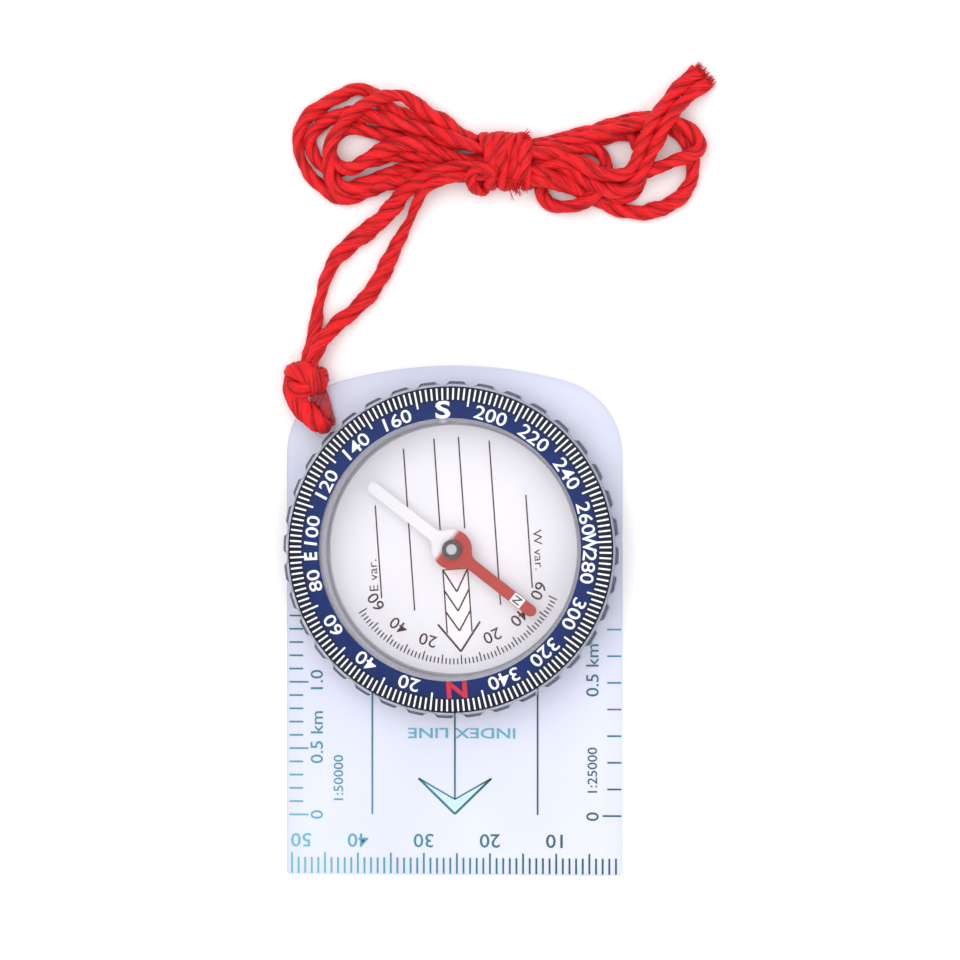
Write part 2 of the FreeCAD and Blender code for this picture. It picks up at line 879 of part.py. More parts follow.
def make_cord(name, points, flattened=False):
    """A plain cord along a route. A flattened one is as wide as two cords side by side."""
    wire, radii = rounded_path(points)
    path = doc.addObject("Part::Feature", name + "_path")
    path.Shape = wire
    heading = FreeCAD.Vector(*points[1]) - FreeCAD.Vector(*points[0])
    if flattened:
        section = doc.addObject("Part::Ellipse", name + "_section")
        bind(section, MajorRadius="tail_width / 2", MinorRadius="cord_diameter / 2")
        level = VERTICAL.cross(heading).normalize()
        turned = FreeCAD.Rotation(level, FreeCAD.Vector(), heading, "ZXY")
    else:
        section = doc.addObject("Part::Circle", name + "_section")
        bind(section, Radius="cord_diameter / 2")
        turned = FreeCAD.Rotation(VERTICAL, heading)
    section.Placement = FreeCAD.Placement(FreeCAD.Vector(*points[0]), turned)
    tube = doc.addObject("Part::Sweep", name + "_tube")
    tube.Sections = [section]
    tube.Spine = (path, [f"Edge{i}" for i in range(1, len(wire.Edges) + 1)])
    tube.Solid = True
    tube.Label = name
    doc.recompute()
    area = Part.Face(Part.Wire(section.Shape.Edges)).Area
    expected = area * wire.Length
    if abs(tube.Shape.Volume - expected) > VOLUME_ERROR * expected:
        raise RuntimeError(f"{name}: volume {tube.Shape.Volume:.2f}, expected {expected:.2f}")
    print(
        f"{name}: length {wire.Length:.1f} mm, volume {tube.Shape.Volume:.1f} of {expected:.1f} mm3,",
        "arc radii",
        [round(radius, 1) for radius in radii],
    )
    return tube


def make_under_leg():
    """The cord's leg under the plate, pressed flat in the relief, from the hole to the knot."""
    body = new_body("lanyard_loop_under")
    sketch = new_sketch(body, "under_leg_strip", height="cord_floor_gap")
    polygon(sketch, strip(HOLE, "relief_angle", "under_leg_length", "cord_flat_width"))
    pad(body, sketch, "under_leg", "cord_flat_height")
    start = new_sketch(body, "under_hole_circle", height="cord_floor_gap")
    circle(start, "cord_flat_width / 2", HOLE)
    pad(body, start, "under_hole_end", "cord_flat_height")
    return body


def make_knot():
    """Overhand knot at the plate's corner, as its outer shape."""
    knot = doc.addObject("Part::Ellipsoid", "knot_ball")
    knot.Label = "lanyard_knot"
    bind(
        knot,
        Radius1="knot_height / 2",
        Radius2="knot_length / 2",
        Radius3="knot_width / 2",
        Placement__Base__x="knot_x",
        Placement__Base__y="knot_y",
        Placement__Base__z="knot_height / 2 + cord_floor_gap",
    )
    return knot


def outline(sketch, points):
    """A closed outline through points chosen by eye."""
    corners = [FreeCAD.Vector(x, y, 0) for x, y in points]
    for i, corner in enumerate(corners):
        sketch.addGeometry(Part.LineSegment(corner, corners[(i + 1) % len(corners)]))
        sketch.addConstraint(Sketcher.Constraint("Block", i))


def make_hank():
    """The wrapped length as its outer shape: two flat bows joined by a waist."""
    body = new_body("lanyard_hank")
    waist = new_sketch(body, "waist_section", height="waist_bottom")
    polygon(
        waist,
        [
            ("waist_left - waist_overlap", "waist_y - waist_width / 2"),
            ("waist_right + waist_overlap", "waist_y - waist_width / 2"),
            ("waist_right + waist_overlap", "waist_y + waist_width / 2"),
            ("waist_left - waist_overlap", "waist_y + waist_width / 2"),
        ],
    )
    pad(body, waist, "waist", "waist_height")
    left = new_sketch(body, "left_bow_outline", height="cord_floor_gap")
    outline(left, LEFT_BOW)
    pad(body, left, "left_bow", "hank_height")
    right = new_sketch(body, "right_bow_outline", height="cord_floor_gap")
    outline(right, RIGHT_BOW)
    bows = pad(body, right, "right_bow", "hank_height")
    tall = DIMENSIONS["hank_height"]
    floor = DIMENSIONS["cord_floor_gap"]

    def beside_waist(edge):
        box = edge.BoundBox
        return any(
            abs(box.XMin - end) < SAME_PLACE and abs(box.XMax - end) < SAME_PLACE
            for end in (LEFT_BOW[0][0], RIGHT_BOW[0][0])
        )

    def bow_rim(edge):
        level = at_height(edge, floor) or at_height(edge, floor + tall)
        return level and not beside_waist(edge)

    doc.recompute()
    fillet(body, "bow_edges", bows, bow_rim, "hank_edge_radius")
    return body


def make_wrap():
    """The turns round the hank's waist, as one band."""
    body = new_body("lanyard_wrap")
    section = new_sketch(body, "band_section", "YZ_Plane", height="waist_left")
    for grown in ("wrap_thickness", "0"):
        low = f"waist_bottom - {grown}"
        high = f"waist_bottom + waist_height + {grown}"
        near = f"waist_y - waist_width / 2 - {grown}"
        far = f"waist_y + waist_width / 2 + {grown}"
        polygon(section, [(near, low), (far, low), (far, high), (near, high)])
    band = pad(body, section, "band", "waist_right - waist_left")
    doc.recompute()
    reach = DIMENSIONS["waist_width"] / 2 + DIMENSIONS["wrap_thickness"]

    def outer_corner(edge):
        box = edge.BoundBox
        return box.XLength > 1 and abs(abs(box.YMin - DIMENSIONS["waist_y"]) - reach) < SAME_PLACE

    fillet(body, "band_corners", band, outer_corner, "wrap_edge_radius")
    return body


# ---------------------------------------------------------------- assembly


def checked_shape(part):
    """A sub-part's shape, once it is known to be there and valid."""
    shape = part.Shape
    if shape.isNull() or not shape.isValid() or not shape.Solids:
        raise RuntimeError(f"{part.Label} has no valid solid")
    return shape


def main():
    parts = [
        make_baseplate(),
        make_friction_ring(),
        make_bezel(),
        make_scale_ring(),
        make_retaining_ring(),
        make_capsule_cup(),
        make_capsule_seal(),
        make_capsule_cover(),
        make_filler_plug(),
        make_orienting_disc(),
        make_pivot_bush(),
        make_pivot_pin(),
        make_needle_blade(),
        make_needle_cap(),
        make_jewel_bearing(),
        make_under_leg(),
        make_cord("lanyard_loop_over", LOOP_OVER),
        make_knot(),
        make_cord("lanyard_strand_left", STRAND_LEFT),
        make_cord("lanyard_strand_right", STRAND_RIGHT),
        make_hank(),
        make_wrap(),
        make_cord("lanyard_tail", TAIL, flattened=True),
    ]
    doc.recompute()
    failed = [
        thing.Label
        for thing in doc.Objects
        if "Invalid" in thing.State or "Error" in thing.State
    ]
    if failed:
        raise RuntimeError(f"failed objects: {failed}")
    os.makedirs("parts", exist_ok=True)
    for part in parts:
        shape = checked_shape(part)
        shape.exportStep(os.path.join("parts", part.Label + ".step"))
        print(f"{part.Label}: {shape.Volume:.2f} mm3, {len(shape.Solids)} solid")


main()
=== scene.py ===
"""Looks of the baseplate compass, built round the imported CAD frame.

Everything is placed in the row frame, in metres. Routes and drawings are written in millimetres and
are multiplied by MM.
"""

import math
import random

import bmesh
import bpy
import numpy as np
from mathutils import Matrix, Vector


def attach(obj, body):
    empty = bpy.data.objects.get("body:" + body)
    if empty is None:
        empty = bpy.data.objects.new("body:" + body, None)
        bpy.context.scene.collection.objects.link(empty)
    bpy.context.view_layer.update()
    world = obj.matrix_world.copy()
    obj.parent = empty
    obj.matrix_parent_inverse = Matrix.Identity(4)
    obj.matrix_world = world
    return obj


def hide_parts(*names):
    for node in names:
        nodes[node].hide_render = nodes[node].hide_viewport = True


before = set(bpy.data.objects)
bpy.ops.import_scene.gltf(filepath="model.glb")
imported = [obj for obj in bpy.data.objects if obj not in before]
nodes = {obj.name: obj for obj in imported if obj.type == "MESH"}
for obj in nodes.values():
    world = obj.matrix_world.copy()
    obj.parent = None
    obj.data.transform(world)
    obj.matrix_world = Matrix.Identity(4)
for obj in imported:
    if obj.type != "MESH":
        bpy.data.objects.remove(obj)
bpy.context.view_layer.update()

MM = 0.001
DIAL_X, DIAL_Y = 0.0, 10.7  # the dial's axis, mm
DIAL_TURN = math.radians(2.9)  # how far the bezel is turned in the rest pose
CAPSULE_TURN = math.radians(4.0)  # how far the printed capsule floor is turned
NEEDLE_TURN = math.radians(-37.8)  # direction of the needle's north arm, from +X
PLATE_HALF_Y = 38.25  # mm
FLOOR_Z = -0.05 * MM


# ---------------------------------------------------------------- camera

VIEW_TILT = math.radians(5.6)
VIEW_DISTANCE = 0.9
VIEW_WIDTH = 0.1444  # width of the picture at the target
VIEW_TARGET = Vector((3.8 * MM, 21.1 * MM, 0.0))
SENSOR = 36.0

camera_data = bpy.data.cameras.new("camera")
camera_data.sensor_width = SENSOR
camera_data.lens = SENSOR * VIEW_DISTANCE / VIEW_WIDTH
camera_data.clip_start = 0.01
camera_data.clip_end = 20.0
camera = bpy.data.objects.new("camera", camera_data)
bpy.context.scene.collection.objects.link(camera)
view_axis = Vector((math.sin(VIEW_TILT), 0.0, math.cos(VIEW_TILT)))
right = Vector((0.0, 1.0, 0.0)).cross(view_axis).normalized()
camera.matrix_world = Matrix.Translation(VIEW_TARGET + view_axis * VIEW_DISTANCE) @ Matrix(
    (right, view_axis.cross(right), view_axis)
).transposed().to_4x4()
bpy.context.scene.camera = camera


# ---------------------------------------------------------------- node helpers


class Shader:
    """A material's node tree, with short ways to add and join nodes."""

    def __init__(self, name):
        self.material = bpy.data.materials.new(name)
        self.material.use_nodes = True
        self.tree = self.material.node_tree
        self.tree.nodes.clear()
        self.output = self.tree.nodes.new("ShaderNodeOutputMaterial")

    def add(self, kind, inputs=None, **settings):
        """A node of a kind. An input is a plain value or another node's socket."""
        node = self.tree.nodes.new("ShaderNode" + kind)
        for name, value in settings.items():
            setattr(node, name, value)
        for name, value in (inputs or {}).items():
            if isinstance(value, bpy.types.NodeSocket):
                self.tree.links.new(value, node.inputs[name])
            else:
                node.inputs[name].default_value = value
        return node

    def math(self, operation, first, second=0.0):
        return self.add("Math", {0: first, 1: second}, operation=operation).outputs[0]

    def scaled(self, value, factor, start=0.0):
        """value * factor + start"""
        inputs = {0: value, 1: factor, 2: start}
        return self.add("Math", inputs, operation="MULTIPLY_ADD").outputs[0]

    def ramp(self, factor, stops):
        """A colour ramp. A stop is (position, colour), and a single number stands for a grey."""
        node = self.add("ValToRGB", {"Fac": factor})
        ramp = node.color_ramp
        while len(ramp.elements) < len(stops):
            ramp.elements.new(0.5)
        for element, (position, colour) in zip(ramp.elements, stops):
            element.position = position
            element.color = (*(colour if isinstance(colour, tuple) else (colour,) * 3), 1.0)
        return node.outputs["Color"]

    def mix(self, factor, first, second, blend_type="MIX"):
        """Two colours mixed. Each is a socket or three numbers."""
        node = self.add("Mix", data_type="RGBA", blend_type=blend_type)
        for socket, value in ((0, factor), (6, first), (7, second)):
            if isinstance(value, bpy.types.NodeSocket):
                self.tree.links.new(value, node.inputs[socket])
            else:
                node.inputs[socket].default_value = value if socket == 0 else (*value, 1.0)
        return node.outputs[2]

    def noise(self, scale, detail=3.0, roughness=0.55, vector=None):
        """Noise over the object's own coordinates, or over a vector."""
        if vector is None:
            vector = self.add("TexCoord").outputs["Object"]
        inputs = {"Scale": scale, "Detail": detail, "Roughness": roughness, "Vector": vector}
        return self.add("TexNoise", inputs).outputs["Fac"]

    def bump(self, height, strength, distance):
        """A normal bent by bumps. distance is how deep they are, in metres."""
        inputs = {"Height": height, "Strength": strength, "Distance": distance}
        return self.add("Bump", inputs).outputs["Normal"]

    def finish(self, socket):
        """Make a shader the material's surface."""
        self.tree.links.new(socket, self.output.inputs["Surface"])
        return self.material


def surface_of(shader, **inputs):
    """A Principled shader with its inputs under short names."""
    names = {
        "base": "Base Color",
        "rough": "Roughness",
        "normal": "Normal",
        "metal": "Metallic",
        "coat": "Coat Weight",
        "sheen": "Sheen Weight",
        "sheen_rough": "Sheen Roughness",
        "specular": "Specular IOR Level",
    }
    given = {}
    for name, value in inputs.items():
        if name == "base" and isinstance(value, tuple):
            value = (*value, 1.0)
        given[names[name]] = value
    return shader.add("BsdfPrincipled", given).outputs["BSDF"]


def finish_piece(piece, material, body):
    """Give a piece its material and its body."""
    piece.data.materials.clear()
    piece.data.materials.append(material)
    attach(piece, body)
    return piece


def mesh_piece(name, vertices, faces, smooth=True):
    """An object of its own from vertices in metres."""
    mesh = bpy.data.meshes.new(name)
    mesh.from_pydata([tuple(v) for v in vertices], [], faces)
    mesh.validate()
    mesh.polygons.foreach_set("use_smooth", [smooth] * len(mesh.polygons))
    piece = bpy.data.objects.new(name, mesh)
    bpy.context.scene.collection.objects.link(piece)
    return piece


# ---------------------------------------------------------------- the cord

PLIES = 3
RING = 30  # points round a cord
PLY_RADIUS, PLY_OFFSET = 0.71, 0.29  # of a ply's circle, as parts of the cord's radius
TWIST_PITCH = 11.0  # mm for a whole turn of the plies
SECTION = 4.0  # mm2, width times height of a pressed cord
SPLINE_STEPS = 14  # points for each control point of a route
SWELL = 1.04  # mean swelling of a cord's width and height
SWELLS = ((0.09, 4.7, 5.0), (0.07, 2.3, 1.0), (0.06, 0.85, 3.0))  # share, length in mm, shift
DRIFTS = ((0.54, 7.1, 1.0), (0.3, 3.7, 2.0))  # radians, length in mm, shift
STRANDS, STRAND_DEPTH = 8.0, 0.045  # fine ridges round the cord, and their share of its radius
ON_FLOOR = 0.06  # mm, the lowest that a cord reaches
CAP = 0.3  # mm, how far the middle of a cut end stands out

# A route is a list of control points: x, y and z of the cord's middle, and its width, all in mm.
LEG_OVER = [
    (-19.65, 29.15, 0.7, 2.0),
    (-19.65, 29.15, 2.8, 2.2),
    (-19.8, 29.3, 4.7, 2.6),
    (-21.9, 31.1, 4.3, 2.8),
    (-24.1, 33.6, 3.9, 3.1),
    (-24.3, 35.6, 3.1, 2.7),
    (-23.0, 36.9, 2.4, 2.0),
]
STRAND_LEFT = [
    (-22.1, 38.4, 1.7, 2.2),
    (-21.6, 40.6, 1.2, 2.3),
    (-21.0, 44.4, 1.2, 2.2),
    (-20.2, 49.3, 1.1, 1.8),
    (-18.3, 54.4, 1.1, 2.0),
    (-14.3, 57.7, 1.1, 2.7),
    (-10.2, 60.8, 1.5, 2.7),
    (-6.6, 65.4, 3.1, 2.3),
    (-1.5, 67.9, 3.7, 2.0),
]
TURN_LEFT_1 = [
    (4.6, 68.5, 4.0, 1.6),
    (11.2, 68.0, 4.0, 1.6),
    (17.0, 65.8, 2.4, 2.1),
    (21.5, 62.9, 1.1, 2.2),
    (26.6, 60.9, 1.1, 2.6),
    (31.2, 61.6, 1.1, 2.4),
    (34.8, 63.8, 1.1, 2.0),
    (36.3, 67.6, 1.1, 1.9),
    (35.2, 71.8, 1.1, 2.1),
    (31.6, 75.2, 1.1, 2.2),
    (26.6, 75.5, 1.1, 2.2),
    (21.0, 73.4, 1.1, 2.2),
    (15.5, 72.0, 1.1, 2.0),
    (11.2, 71.3, 1.0, 1.6),
    (4.6, 71.4, 1.0, 1.6),
    (-2.3, 74.6, 1.1, 2.2),
    (-7.5, 75.6, 1.1, 2.3),
    (-10.5, 77.4, 1.1, 2.2),
    (-12.5, 79.6, 1.1, 2.0),
    (-15.0, 80.1, 1.1, 1.9),
    (-18.0, 78.6, 1.1, 2.0),
    (-21.0, 76.9, 1.1, 2.1),
    (-23.3, 74.8, 1.1, 1.9),
    (-23.8, 71.2, 1.1, 1.9),
    (-22.6, 67.8, 1.1, 2.0),
    (-20.3, 65.3, 1.1, 2.1),
    (-16.5, 63.1, 1.1, 2.2),
    (-12.5, 65.0, 1.1, 2.2),
    (-8.0, 66.3, 1.1, 2.3),
    (-2.3, 66.7, 1.1, 2.0),
]
TURN_LEFT_2 = [
    (4.6, 66.4, 1.0, 1.6),
    (11.2, 66.5, 1.0, 1.6),
    (18.8, 66.4, 1.1, 2.1),
    (24.1, 66.2, 1.9, 2.2),
    (29.3, 67.2, 2.9, 2.3),
    (33.8, 69.0, 2.9, 2.3),
    (37.4, 70.2, 2.6, 2.1),
    (36.6, 72.9, 2.7, 2.0),
    (32.6, 75.2, 2.9, 2.1),
    (28.0, 74.6, 2.6, 2.2),
    (22.0, 72.8, 2.4, 2.2),
    (16.5, 71.6, 2.4, 2.0),
    (11.2, 70.7, 2.5, 1.6),
    (4.6, 70.7, 2.5, 1.6),
    (-2.3, 72.4, 1.8, 2.2),
    (-6.6, 72.6, 1.1, 2.4),
    (-11.2, 73.0, 1.1, 2.4),
    (-15.8, 74.6, 1.1, 2.3),
    (-18.8, 72.4, 1.1, 2.1),
    (-18.6, 69.0, 2.0, 2.0),
    (-15.4, 67.4, 2.9, 2.1),
    (-11.4, 70.4, 2.9, 2.2),
    (-7.0, 72.0, 3.0, 2.2),
    (-2.0, 70.6, 3.0, 2.0),
]
TAIL_LEFT = [
    (4.6, 67.2, 2.5, 1.6),
    (11.2, 67.0, 2.6, 1.6),
    (17.5, 69.6, 3.4, 2.2),
    (22.4, 66.6, 4.2, 2.2),
    (26.8, 66.6, 4.4, 2.1),
    (28.4, 71.0, 4.4, 2.0),
    (30.2, 74.8, 4.4, 2.0),
    (32.0, 77.4, 3.2, 2.1),
    (34.0, 80.0, 1.8, 2.3),
    (36.7, 82.2, 1.3, 2.4),
]
ROUTE_LEFT = LEG_OVER + STRAND_LEFT + TURN_LEFT_1 + TURN_LEFT_2 + TAIL_LEFT

LEG_UNDER = [
    (-19.65, 29.15, 0.68, 3.1),
    (-20.0, 31.0, 0.68, 3.1),
    (-20.5, 33.6, 0.68, 3.1),
    (-20.9, 35.4, 0.9, 2.8),
    (-20.8, 36.6, 2.0, 2.1),
]
STRAND_RIGHT = [
    (-21.3, 38.1, 3.1, 2.2),
    (-20.8, 40.7, 3.1, 2.4),
    (-18.4, 44.0, 1.8, 2.4),
    (-13.9, 47.6, 1.1, 2.4),
    (-11.2, 51.2, 1.1, 2.2),
    (-8.7, 56.6, 1.1, 2.1),
    (-6.6, 60.2, 1.3, 1.5),
    (-4.6, 65.0, 3.1, 1.8),
    (-0.5, 66.6, 3.8, 1.9),
]
TURN_RIGHT_1 = [
    (4.6, 66.8, 4.0, 1.6),
    (11.2, 66.4, 3.9, 1.6),
    (15.8, 65.4, 2.8, 2.1),
    (20.3, 63.9, 1.3, 2.2),
    (24.5, 62.9, 1.1, 2.2),
    (27.6, 64.2, 1.1, 2.0),
    (28.2, 67.4, 1.1, 2.1),
    (28.3, 71.0, 1.1, 2.2),
    (26.4, 73.4, 1.1, 2.1),
    (22.4, 72.6, 1.1, 2.2),
    (16.5, 70.6, 1.1, 2.1),
    (11.2, 69.6, 1.0, 1.6),
    (4.6, 69.7, 1.0, 1.6),
    (-0.8, 74.6, 1.9, 2.1),
    (-3.9, 76.0, 2.4, 2.1),
    (-6.6, 78.5, 2.6, 2.1),
    (-9.0, 79.0, 2.9, 2.0),
    (-11.8, 78.3, 2.9, 2.1),
    (-14.4, 76.9, 2.9, 2.1),
    (-16.6, 74.8, 2.9, 2.2),
    (-18.6, 71.8, 2.9, 2.2),
    (-18.9, 68.4, 2.7, 2.1),
    (-18.2, 65.6, 2.2, 2.1),
    (-15.4, 64.6, 2.0, 2.2),
    (-11.8, 66.4, 1.4, 2.2),
    (-7.6, 68.0, 1.1, 2.2),
    (-2.0, 68.3, 1.1, 2.0),
]
TURN_RIGHT_2 = [
    (4.6, 68.0, 1.0, 1.6),
    (10.6, 68.2, 1.0, 1.6),
    (13.2, 66.6, 1.1, 1.9),
    (13.0, 63.6, 1.1, 2.0),
    (15.4, 61.9, 1.4, 2.1),
    (19.0, 62.2, 2.6, 2.1),
    (22.2, 64.2, 2.6, 2.1),
    (23.4, 68.2, 1.6, 2.2),
    (21.2, 71.4, 1.8, 2.2),
    (16.5, 69.9, 3.2, 2.1),
    (11.2, 70.1, 4.0, 1.6),
    (4.6, 70.2, 4.0, 1.6),
    (-2.3, 73.4, 3.0, 2.2),
    (-7.6, 74.4, 2.7, 2.2),
    (-12.0, 75.9, 2.0, 2.2),
    (-16.2, 76.4, 1.1, 2.2),
    (-19.8, 75.2, 1.1, 2.0),
    (-22.3, 72.4, 1.1, 2.2),
    (-20.9, 69.2, 1.1, 1.8),
    (-19.0, 67.4, 1.1, 2.0),
    (-15.8, 68.0, 1.1, 2.2),
    (-12.0, 69.4, 1.1, 2.3),
    (-7.5, 70.4, 1.1, 2.3),
    (-2.3, 69.8, 2.0, 2.0),
]
TAIL_RIGHT = [
    (4.6, 68.9, 2.5, 1.6),
    (11.2, 68.6, 2.6, 1.6),
    (16.6, 68.4, 2.7, 2.1),
    (22.2, 64.4, 2.9, 2.1),
    (26.6, 64.4, 3.2, 2.0),
    (28.6, 67.6, 3.7, 2.0),
    (30.6, 71.2, 3.9, 2.0),
    (32.2, 74.6, 4.4, 2.0),
    (34.2, 77.2, 3.0, 2.1),
    (36.2, 79.2, 1.8, 2.3),
    (38.1, 80.6, 1.3, 2.4),
]
ROUTE_RIGHT = LEG_UNDER + STRAND_RIGHT + TURN_RIGHT_1 + TURN_RIGHT_2 + TAIL_RIGHT


def spline_of(name, route):
    """The smooth NURBS line that has the route as its control points.

    Returns its points and the cord's width at each, in mm.
    """
    curve = bpy.data.curves.new(name, "CURVE")
    curve.dimensions = "3D"
    spline = curve.splines.new("NURBS")
    spline.points.add(len(route) - 1)
    for point, (x, y, z, _) in zip(spline.points, route):
        point.co = (x, y, z, 1.0)
    spline.order_u = 3
    spline.use_endpoint_u = True
    spline.resolution_u = SPLINE_STEPS
    holder = bpy.data.objects.new(name, curve)
    mesh = bpy.data.meshes.new_from_object(holder)
    line = np.array([v.co for v in mesh.vertices], float)
    bpy.data.meshes.remove(mesh)
    bpy.data.objects.remove(holder)
    bpy.data.curves.remove(curve)
    spans = len(route) - 2  # each control point but the first and last has the middle of one
    control_at = np.concatenate([[0.0], np.arange(spans) + 0.5, [spans]])
    at = np.linspace(0.0, spans, len(line))
    return line, np.interp(at, control_at, [p[3] for p in route])


def waves(along, parts, seed):
    """The sum of a few sine waves along the cord."""
    return sum(height * np.sin(along / length + shift * seed) for height, length, shift in parts)


def carried_frames(line):
    """Tangents and a side direction that doesn't twist along the line."""
    tangents = np.gradient(line, axis=0)
    tangents /= np.linalg.norm(tangents, axis=1)[:, None]
    start = np.cross(tangents[0], (0.0, 1.0, 0.0))
    if np.linalg.norm(start) < 0.1:
        start = np.cross(tangents[0], (1.0, 0.0, 0.0))
    sides = [start / np.linalg.norm(start)]
    for tangent in tangents[1:]:
        side = sides[-1] - tangent * float(sides[-1] @ tangent)
        sides.append(side / np.linalg.norm(side))
    return tangents, np.array(sides)


def ply_outline(angle):
    """How far the outline of the plies reaches at an angle, as a part of the cord's radius."""
    lobe = 2.0 * math.pi / PLIES
    off = (angle + lobe / 2.0) % lobe - lobe / 2.0
    return PLY_OFFSET * np.cos(off) + np.sqrt(PLY_RADIUS**2 - (PLY_OFFSET * np.sin(off)) ** 2)


def rope(name, line, widths, ups, heights=None, pitch=TWIST_PITCH, seed=0.0):
    """A laid cord: plies twisted along the line, pressed flat along the up directions. All in mm.

    Its "ply" attribute is 0 between two plies and 1 on top of one, and "run" is a place in the
    twisted cord.
    """
    tangents, sides = carried_frames(line)
    seconds = np.cross(tangents, sides)
    along = np.concatenate([[0.0], np.cumsum(np.linalg.norm(np.diff(line, axis=0), axis=1))])
    if heights is None:
        heights = np.minimum(widths, SECTION / widths)
    ripple = SWELL + waves(along, SWELLS, seed)
    turns = 2.0 * math.pi * along / pitch + waves(along, DRIFTS, seed)
    angles = np.linspace(0.0, 2.0 * math.pi, RING, endpoint=False)
    rings, grooves = [], []
    for i, centre in enumerate(line):
        twisted = angles - turns[i]
        reach = ply_outline(twisted)
        wander = 2.0 * math.sin(along[i] * 0.9 + seed)
        strands = 1.0 + STRAND_DEPTH * np.sin(STRANDS * twisted + wander)
        offsets = (
            np.cos(angles)[:, None] * sides[i] + np.sin(angles)[:, None] * seconds[i]
        ) * (0.5 * reach * strands)[:, None]
        up = ups[i] - tangents[i] * float(ups[i] @ tangents[i])
        lean = np.linalg.norm(up)
        up = up / max(lean, 1e-6)
        across = np.cross(tangents[i], up)
        blend = min(1.0, lean * 1.5)
        even = 0.5 * (widths[i] + heights[i])
        tall = even + (heights[i] - even) * blend
        wide = even + (widths[i] - even) * blend
        shaped = (
            (offsets @ up)[:, None] * up * tall + (offsets @ across)[:, None] * across * wide
        ) * ripple[i]
        ring = centre + shaped
        ring[:, 2] = np.maximum(ring[:, 2], ON_FLOOR)
        rings.append(ring)
        grooves.append((reach - reach.min()) / (reach.max() - reach.min() + 1e-9))
    caps = [line[0] - tangents[0] * CAP], [line[-1] + tangents[-1] * CAP]
    points = np.concatenate([*rings, *caps]) * MM
    count = len(line)
    faces = []
    for i in range(count - 1):
        for j in range(RING):
            k = (j + 1) % RING
            faces.append((i * RING + j, i * RING + k, (i + 1) * RING + k, (i + 1) * RING + j))
    first, last = count * RING, count * RING + 1
    for j in range(RING):
        k = (j + 1) % RING
        faces.append((first, k, j))
        faces.append((last, (count - 1) * RING + j, (count - 1) * RING + k))
    piece = mesh_piece(name, points, faces)
    mesh = piece.data
    ply = mesh.attributes.new("ply", "FLOAT", "POINT")
    ply.data.foreach_set("value", np.concatenate([*grooves, [0.5], [0.5]]))
    run = mesh.attributes.new("run", "FLOAT_VECTOR", "POINT")
    coordinates = np.zeros((len(points), 3))
    for i in range(count):
        ring = slice(i * RING, (i + 1) * RING)
        coordinates[ring, 0] = np.cos(angles - turns[i])
        coordinates[ring, 1] = np.sin(angles - turns[i])
        coordinates[ring, 2] = along[i] / pitch
    run.data.foreach_set("vector", coordinates.ravel())
    return piece


def cord_material():
    """Soft laid cord: bright red plies, darkened between them by painted shade, with fine
    lengthwise fibres.
    """
    s = Shader("red_cord")
    ply = s.add("Attribute", attribute_name="ply").outputs["Fac"]
    run = s.add("Attribute", attribute_name="run").outputs["Vector"]
    stretched = s.add("Mapping", {"Vector": run, "Scale": (1.0, 1.0, 0.7)}).outputs["Vector"]
    fibres = s.noise(4.5, 4.0, 0.7, stretched)
    patches = s.noise(420.0, 2.0)
    flecks = s.noise(3.2, 3.0, 0.65, stretched)
    # painted shade: the red is darkest in the grooves between plies and brightest on their tops
    groove_painted_shade, flank_painted_shade, crown = (0.40, 0.002, 0.004), (0.72, 0.005, 0.009), (0.90, 0.009, 0.015)
    body = s.ramp(ply, [(0.0, groove_painted_shade), (0.35, flank_painted_shade), (1.0, crown)])
    streaks = s.ramp(fibres, [(0.34, (0.30, 0.26, 0.26)), (0.48, (0.88, 0.85, 0.85)), (0.7, 1.0)])
    coloured = s.mix(0.9, body, streaks, "MULTIPLY")
    dark = s.ramp(flecks, [(0.36, (0.26, 0.20, 0.20)), (0.46, 1.0)])
    coloured = s.mix(0.85, coloured, dark, "MULTIPLY")
    pale = s.ramp(patches, [(0.5, 0.0), (0.8, 0.25)])
    coloured = s.mix(pale, coloured, (0.85, 0.035, 0.045))
    height = s.math("ADD", s.math("MULTIPLY", fibres, 0.7), s.math("MULTIPLY", ply, 0.3))
    return s.finish(
        surface_of(
            s,
            base=coloured,
            rough=s.math("ADD", s.math("MULTIPLY", fibres, 0.2), 0.45),
            normal=s.bump(height, 0.9, 0.16 * MM),
            sheen=0.04,
            sheen_rough=0.5,
            specular=0.2,
        )
    )


red_cord = cord_material()
UP = np.array((0.0, 0.0, 1.0))

cords = {}
for side, route in (("left", ROUTE_LEFT), ("right", ROUTE_RIGHT)):
    line, widths = spline_of("route_" + side, route)
    ups = np.tile(UP, (len(line), 1))
    piece = rope("lanyard_cord_" + side, line, widths, ups, seed=len(cords) * 1.7)
    finish_piece(piece, red_cord, "base")
    cords[side] = (piece, line)

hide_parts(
    "lanyard_loop_over", "lanyard_strand_left", "lanyard_hank", "lanyard_tail"
)
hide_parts("lanyard_loop_under", "lanyard_strand_right")

# ---- knot: two turns of the cord's bight pulled tight round the legs
KNOT_MIDDLE = np.array((-22.1, 36.0, 2.6))  # mm
KNOT_PRESSED = 0.72  # height of its cord, as a part of the width
KNOT = [
    (-23.4, 38.2, 1.3, 2.4),
    (-24.5, 36.8, 1.6, 2.8),
    (-24.7, 35.0, 2.9, 3.0),
    (-23.1, 34.3, 4.3, 3.1),
    (-20.9, 35.4, 4.5, 3.0),
    (-19.4, 36.7, 2.8, 2.8),
    (-20.1, 37.2, 1.4, 2.6),
    (-22.2, 36.6, 1.3, 2.6),
    (-24.6, 36.9, 2.0, 2.9),
    (-24.1, 37.7, 3.5, 3.1),
    (-22.0, 37.2, 4.5, 3.1),
    (-20.2, 35.6, 4.4, 3.0),
    (-20.0, 34.7, 3.9, 2.7),
    (-21.2, 35.1, 2.6, 2.4),
]

